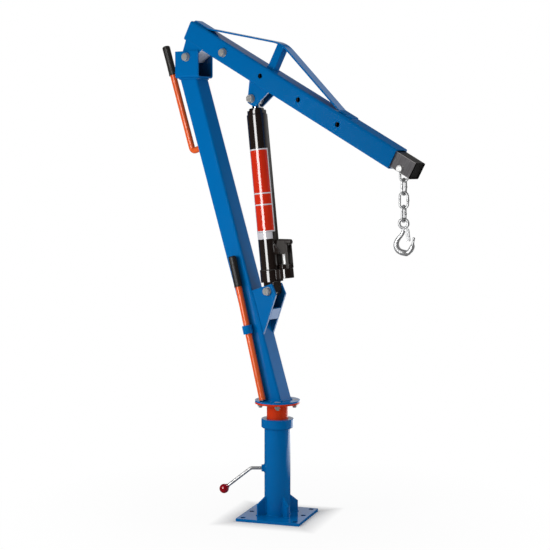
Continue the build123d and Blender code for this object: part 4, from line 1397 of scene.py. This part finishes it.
@dataclass
class Jack:
    """Hand-pumped jack with its printed film, in the jack's axes.

    Attributes:
        mouth: outline from the cylinder's shoulder to its bore.
        film: radii of the back and the face of the printed film.
        label, label_turns: heights and degrees of the red film's edges.
        dividers: shares of its height, from the top, at which white lines cross it.
        line: width of those lines and of its white frame.
        guard: corners of the plate behind the plunger.
        weld_ring: radius, height and half width of the weld at the cylinder's foot.
        lug_root, lug: place and ends of the welds of the pump's lugs.
    """

    radius: float = 0.035
    bore: float = 0.031
    foot: float = 0.070
    top: float = 0.600
    shoulder: float = 0.004
    mouth: Outline = ((0.0312, 0.600), (0.031, 0.5996))
    film: Pair = (0.0345, 0.03525)
    label: Pair = (0.1998, 0.4816)
    label_turns: Pair = (-135.0, -8.0)
    dividers: Pair = (0.535, 0.672)
    line: float = 0.0045
    line_steps: int = 2
    label_steps: int = 40
    strip: Pair = (0.1757, 0.1990)
    strip_turns: Pair = (-140.0, -28.0)
    strip_steps: int = 36
    pump_x: float = 0.06189
    nut_bore: float = 0.0083
    nut_sides: int = 6
    nut_r: float = 0.0215
    nut_h: float = 0.016
    nut_edge: float = 0.0012
    rod_r: float = 0.008
    rod_foot: float = 0.072
    rod_top: float = 0.118
    rod_edge: float = 0.0012
    tongue_foot: float = 0.116
    tongue_top: float = 0.13466
    tongue_r: float = 0.0070
    tongue: float = 0.0075
    guide_x: float = 0.0790
    guide_y: float = 0.0133
    guide_half: float = 0.0050
    guide_h: float = 0.076
    guide: float = 0.003
    guide_edge: float = 0.0005
    guard: tuple[Point, Point] = ((0.0290, 0.0150, 0.0705), (0.0790, 0.0180, 0.1500))
    weld_ring: Point = (0.0356, 0.0704, 0.0030)
    lug_root: Pair = (0.0308, 0.0166)
    lug: Pair = (0.128, 0.166)
    lug_bead: float = 0.0024
    edge: float = 0.0010
    small_edge: float = 0.0006
    arm_edge: float = 0.0005

    def build(self) -> None:
        """Build the cylinder, its film, the pump and the welds, and round the cut edges."""
        self.cylinder()
        self.print_label()
        self.blank_strip()
        self.gland_nut()
        self.plunger()
        self.guides()
        CutPieces(("jack_base",), self.edge).build()
        CutPieces(("pump_arm",), self.arm_edge).build()
        CutPieces(("jack_gland", "pump_fulcrum", "release_valve", "ram_eye"), self.small_edge).build()
        welds = Welds("jack_welds", "jack", Coat.CAST, JACK)
        welds.ring(*self.weld_ring)
        x, across = self.lug_root
        for y in (-across, across):
            welds.bead([(x, y, z) for z in self.lug], self.lug_bead)
        welds.finish()

    def cylinder(self) -> None:
        """Turn the outer cylinder with its rounded shoulder."""
        inner, low = self.radius - self.shoulder, self.top - self.shoulder
        shoulder = [(inner + x, low + y) for x, y in arc(self.shoulder, 0.0, 15.0, 6)]
        shape = Shape()
        outline = [(self.bore, self.foot), (self.radius, self.foot), *shoulder, *self.mouth]
        shape.turned(outline, steps=Steps.LARGE)
        made = shape.finish("jack_cylinder_turned", "jack", Coat.BLACK, JACK)
        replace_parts(made, "jack_cylinder")

    def print_label(self) -> None:
        """Wrap the red film round the cylinder, with its white frame and two white dividers."""
        low, high = self.label
        half = self.line / 2
        middles = sorted(high - share * (high - low) for share in self.dividers)
        between = [z + d for z in middles for d in (-half, half)]
        rows = [low, low + self.line, *between, high - self.line, high]
        start, end = (math.radians(turn) for turn in self.label_turns)
        border = self.line / self.radius
        shape = Shape()
        frame_arc = (border, self.line_steps)
        arcs = [frame_arc, (end - start - 2 * border, self.label_steps), frame_arc]
        shape.wrapped(rows, self.film, start, arcs)
        white = list(zip(rows[::2], rows[1::2]))
        for face in shape.mesh.faces:
            middle = face.calc_center_median()
            turn = math.atan2(middle.y, middle.x)
            inside = start + border < turn < end - border and not any(a < middle.z < b for a, b in white)
            face.material_index = 0 if inside else 1
        made = shape.finish("jack_label", "jack", Coat.PRINT_RED, JACK)
        made.data.materials.append(paint(Coat.PRINT_WHITE))

    def blank_strip(self) -> None:
        """Wrap the blank white strip under the label."""
        start, end = (math.radians(turn) for turn in self.strip_turns)
        shape = Shape()
        shape.wrapped(self.strip, self.film, start, [(end - start, self.strip_steps)])
        shape.finish("jack_blank_strip", "jack", Coat.PRINT_WHITE, JACK)

    def gland_nut(self) -> None:
        """Build the pump's six-sided gland nut."""
        nut = Shape()
        at = Matrix.Translation((self.pump_x, 0.0, self.foot))
        _, bore = nut.circle(self.nut_bore, Steps.SMALL, at)
        _, outside = nut.circle(self.nut_r, self.nut_sides, at)
        flat = bmesh.ops.triangle_fill(nut.mesh, use_beauty=True, edges=bore + outside)["geom"]
        nut.raised(picked(flat, Face), Vector((0.0, 0.0, self.nut_h)))
        nut.flattened()
        nut.eased(self.nut_edge)
        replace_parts(nut.finish("pump_gland_nut", "jack", Coat.BLACK, JACK, even=True), "pump_barrel")

    def plunger(self) -> None:
        """Turn the slim plated plunger and give it its tongue."""
        rod = Shape()
        r, low, high, cut = self.rod_r, self.rod_foot, self.rod_top, self.rod_edge
        outline = [(0.0, low), (r, low), (r, high - cut), (r - cut, high), (0.0, high)]
        rod.turned(outline, Matrix.Translation((self.pump_x, 0.0, 0.0)), Steps.SMALL)
        start, end = (Vector((self.pump_x, 0.0, z)) for z in (self.tongue_foot, self.tongue_top))
        rod.strap(start, end, self.tongue_r, self.tongue)
        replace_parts(rod.finish("pump_plunger_rod", "pump_plunger", Coat.PIN, JACK), "pump_plunger")

    def guides(self) -> None:
        """Stand the arm's two guides beside the plunger and a plate behind it."""
        guides = Shape()
        for y in (-self.guide_y, self.guide_y):
            foot = Vector((self.guide_x, y, self.foot + self.guide_half))
            guides.strap(foot, foot + Vector((0.0, 0.0, self.guide_h)), self.guide_half, self.guide)
        low, high = (Vector(corner) for corner in self.guard)
        guides.block((low + high) / 2.0, high - low)
        guides.eased(self.guide_edge)
        guides.finish("pump_arm_guides", "jack", Coat.CAST, JACK, even=True)


@dataclass(frozen=True)
class Lamp:
    """A soft lamp of the studio.

    Attributes:
        name: its name.
        place: where it hangs.
        aim: the point that it faces.
        size: its width and height.
        power: its power in watts.
    """

    name: str
    place: Point
    aim: Point
    size: Pair
    power: float

    def hang(self) -> None:
        """Put the lamp in the scene, unseen in reflections."""
        data = bpy.data.lights.new(self.name, "AREA")
        data.shape = "RECTANGLE"
        data.size, data.size_y = self.size
        data.energy = self.power
        lamp = linked(self.name, data)
        lamp.location = self.place
        lamp.rotation_euler = (Vector(self.aim) - Vector(self.place)).to_track_quat("-Z", "Y").to_euler()
        lamp.visible_glossy = False


@dataclass
class Studio:
    """Pale floor, soft lamps and the camera.

    Attributes:
        plate_turn: degrees that the base plate is turned by.
        behind: the level way to what lies behind the crane.
        plate_fade, round_fade: how white the floor is beside the base plate and further round it.
        far_fade, right_fade, near_fade: how bright it is in reflections, by depth and to the right.
        glow_at: the way to a bright spot that only reflections show.
        behind_fade, rise_fade, low_fade, side_fade: brightness in reflections low behind the crane.
        left_fade, left_rise, spot_fade: the same on the left and round the bright spot.
        ambient: strength of the plain light from all sides.
        card_coats: finishes of the pieces that the highlight card lights.
    """

    eye: Point = (2.790, -3.964, 1.220)
    forward: Point = (-0.5751, 0.8141, -0.0803)
    lens: float = 94.11
    clip_end: float = 100.0
    floor_side: float = 40.0
    floor_colour: Colour = (0.9, 0.9, 0.9)
    plate_turn: float = 17.0
    behind: Point = (0.30, 0.954, 0.0)
    plate_fade: Fade = (0.0, 1.0, 0.1125, 0.19)
    round_fade: Fade = (0.93, 1.0, 0.2, 1.0)
    far_fade: Fade = (1.0, 0.05, 2.4, 4.0)
    right_fade: Fade = (1.0, 0.06, 0.85, 1.0)
    near_fade: Fade = (0.03, 2.4, 0.6, 1.3)
    glow_at: Point = (0.053, 0.814, 0.578)
    behind_fade: Fade = (0.02, 1.0, 0.3, 0.8)
    rise_fade: Fade = (0.10, 1.0, 0.09, 0.17)
    low_fade: Fade = (1.1, 0.07, 0.22, 0.36)
    side_fade: Fade = (1.0, 0.5, -0.5, 0.4)
    left_fade: Fade = (0.5, 0.0, -0.42, -0.33)
    left_rise: Fade = (0.0, 1.0, 0.25, 0.4)
    spot_fade: Fade = (0.0, 0.6, 0.95, 0.99)
    ambient: float = 0.30
    card_place: Point = (-0.05, -3.0, 1.55)
    card_facing: Point = (0.0, 1.0, 0.0)
    card_size: Pair = (1.3, 2.1)
    card_strength: float = 10.0
    card_coats: tuple[Coat, ...] = (
        Coat.BLACK, Coat.CAST, Coat.PRINT_RED, Coat.PRINT_WHITE, Coat.CHROME, Coat.ORANGE, Coat.RUBBER,
        Coat.BALL, Coat.ROD, Coat.PIN, Coat.GALVANISED,
    )
    soft_lamps: tuple[Lamp, ...] = (
        Lamp("key", (-0.70, -1.35, 1.05), (-0.15, 0.0, 0.95), (0.6, 1.0), 12.5),
        Lamp("front", (-0.1, -2.7, 1.4), (0.0, 0.0, 1.0), (1.0, 1.4), 8.0),
        Lamp("side", (1.3, 0.9, 1.1), (-0.1, 0.0, 1.0), (0.8, 1.2), 7.0),
        Lamp("top", (0.4, 0.2, 3.4), (0.0, 0.0, 1.0), (1.6, 1.6), 12.0),
    )

    def build(self) -> None:
        """Make the camera, floor, card, lamps and world."""
        self.camera()
        self.floor()
        self.card()
        for lamp in self.soft_lamps:
            lamp.hang()
        self.world()
        bpy.context.scene.view_settings.view_transform = "Standard"

    def camera(self) -> None:
        """Place the camera at the photograph's viewing angle."""
        data = bpy.data.cameras.new("eye")
        data.lens = self.lens
        data.clip_end = self.clip_end
        view = linked("eye", data)
        view.location = self.eye
        view.rotation_euler = Vector(self.forward).to_track_quat("-Z", "Y").to_euler()
        bpy.context.scene.camera = view

    def floor(self) -> None:
        """Lay the plain pale floor, which keeps the crane's shadow and fades into the white behind it."""
        side = (self.floor_side, self.floor_side)
        _, sheet = self.sheet("floor", (0.0, 0.0, 0.0), (0.0, 0.0, 1.0), side)
        rays = sheet.add("LightPath").outputs
        place = sheet.place()
        turn = (0.0, 0.0, -math.radians(self.plate_turn))
        square = sheet.add("Mapping", {"Vector": place, "Rotation": turn}).outputs[0]
        beside = sheet.math("MAXIMUM", *(sheet.math("ABSOLUTE", sheet.axis(square, axis)) for axis in "XY"))
        away = sheet.add("VectorMath", {0: place}, operation="LENGTH").outputs["Value"]
        clear = sheet.spread(beside, *self.plate_fade)
        shown = sheet.math("MULTIPLY", clear, sheet.spread(away, *self.round_fade))
        depth = sheet.dot(place, self.behind)
        right = sheet.spread(sheet.axis(place, "X"), *self.right_fade)
        far = sheet.math("MULTIPLY", sheet.spread(depth, *self.far_fade), right)
        mirrored = sheet.math("MULTIPLY", sheet.spread(depth, *self.near_fade), far)
        share = sheet.math("MULTIPLY", rays["Is Camera Ray"], shown)
        dull = sheet.add("BsdfDiffuse", {"Color": (*self.floor_colour, 1.0)}).outputs[0]
        pale = sheet.blend(share, dull, sheet.glow(1.0))
        sheet.end(sheet.blend(rays["Is Glossy Ray"], pale, sheet.glow(mirrored)))

    def card(self) -> None:
        """Stand a tall white card that only shows as a highlight in the glossy round pieces."""
        board, sheet = self.sheet("highlight_card", self.card_place, self.card_facing, self.card_size)
        sheet.end(sheet.glow(self.card_strength))
        board.visible_camera = board.visible_diffuse = board.visible_shadow = False
        lit = bpy.data.collections.new("highlight_card_lights")
        names = {paint(coat).name for coat in self.card_coats}
        for piece in bpy.data.objects:
            if piece.type == "MESH" and names.intersection(piece.data.materials.keys()):
                lit.objects.link(piece)
        board.light_linking.receiver_collection = lit

    @staticmethod
    def sheet(name: str, place: Point, facing: Point, size: Pair) -> tuple[bpy.types.Object, NodeSheet]:
        """Make a flat sheet of the stage with an empty material.

        Args:
            name: the name of the sheet and its material.
            place: its middle.
            facing: the way it faces.
            size: its width and height.

        Returns:
            The sheet and its material's nodes.
        """
        shape = bmesh.new()
        at = Matrix.Translation(place) @ pointing(Vector(facing)) @ Matrix.Diagonal((*size, 1.0, 1.0))
        bmesh.ops.create_grid(shape, x_segments=1, y_segments=1, size=0.5, matrix=at)
        data = bpy.data.meshes.new(name)
        shape.to_mesh(data)
        shape.free()
        made = linked(name, data)
        stuff = bpy.data.materials.new(name)
        data.materials.append(stuff)
        return made, NodeSheet.emptied(stuff)

    def world(self) -> None:
        """Surround the studio: white to the eye, and paler low behind the crane than above or in front."""
        sky = bpy.data.worlds.new("studio")
        bpy.context.scene.world = sky
        sheet = NodeSheet.emptied(sky)
        rays = sheet.add("LightPath").outputs
        way = sheet.add("TexCoord").outputs["Generated"]
        across, height = sheet.axis(way, "X"), sheet.axis(way, "Z")
        behind = sheet.spread(sheet.dot(way, self.behind), *self.behind_fade)
        rise = sheet.spread(height, *self.rise_fade)
        low = sheet.math("MULTIPLY", rise, sheet.spread(height, *self.low_fade))
        low = sheet.math("MULTIPLY", low, sheet.spread(across, *self.side_fade))
        left = sheet.spread(across, *self.left_fade)
        left = sheet.math("MULTIPLY", left, sheet.spread(height, *self.left_rise))
        spot = sheet.spread(sheet.dot(way, self.glow_at), *self.spot_fade)
        bright = sheet.math("ADD", sheet.math("ADD", low, left), spot)
        mirrored = sheet.math("MULTIPLY", behind, bright)
        plain = sheet.math("MULTIPLY", rays["Is Diffuse Ray"], self.ambient)
        glossy = sheet.math("MULTIPLY", rays["Is Glossy Ray"], mirrored)
        level = sheet.math("ADD", sheet.math("ADD", plain, glossy), rays["Is Camera Ray"])
        glow = sheet.add("Background", {"Color": WHITE, "Strength": level})
        sheet.end(glow.outputs[0], "OutputWorld")


def main() -> None:
    """Dress the frame, add the pieces and set up the studio."""
    logging.basicConfig(level=logging.INFO, format="%(name)s: %(message)s")
    for name, node in frame["nodes"].items():
        dress(name, node)
    for assembly in (
        Pedestal(),
        SlewLock(),
        Mast(),
        HandGrip("slew_grip", "mast", HANDLE, foot=1.195),
        HandGrip("lever_grip", "pump_lever", LEVER, foot=0.393),
        Boom(),
        InnerBoom(),
        ChainAndHook(),
        Jack(),
        Studio(),
    ):
        assembly.build()


if __name__ == "__main__":
    main()
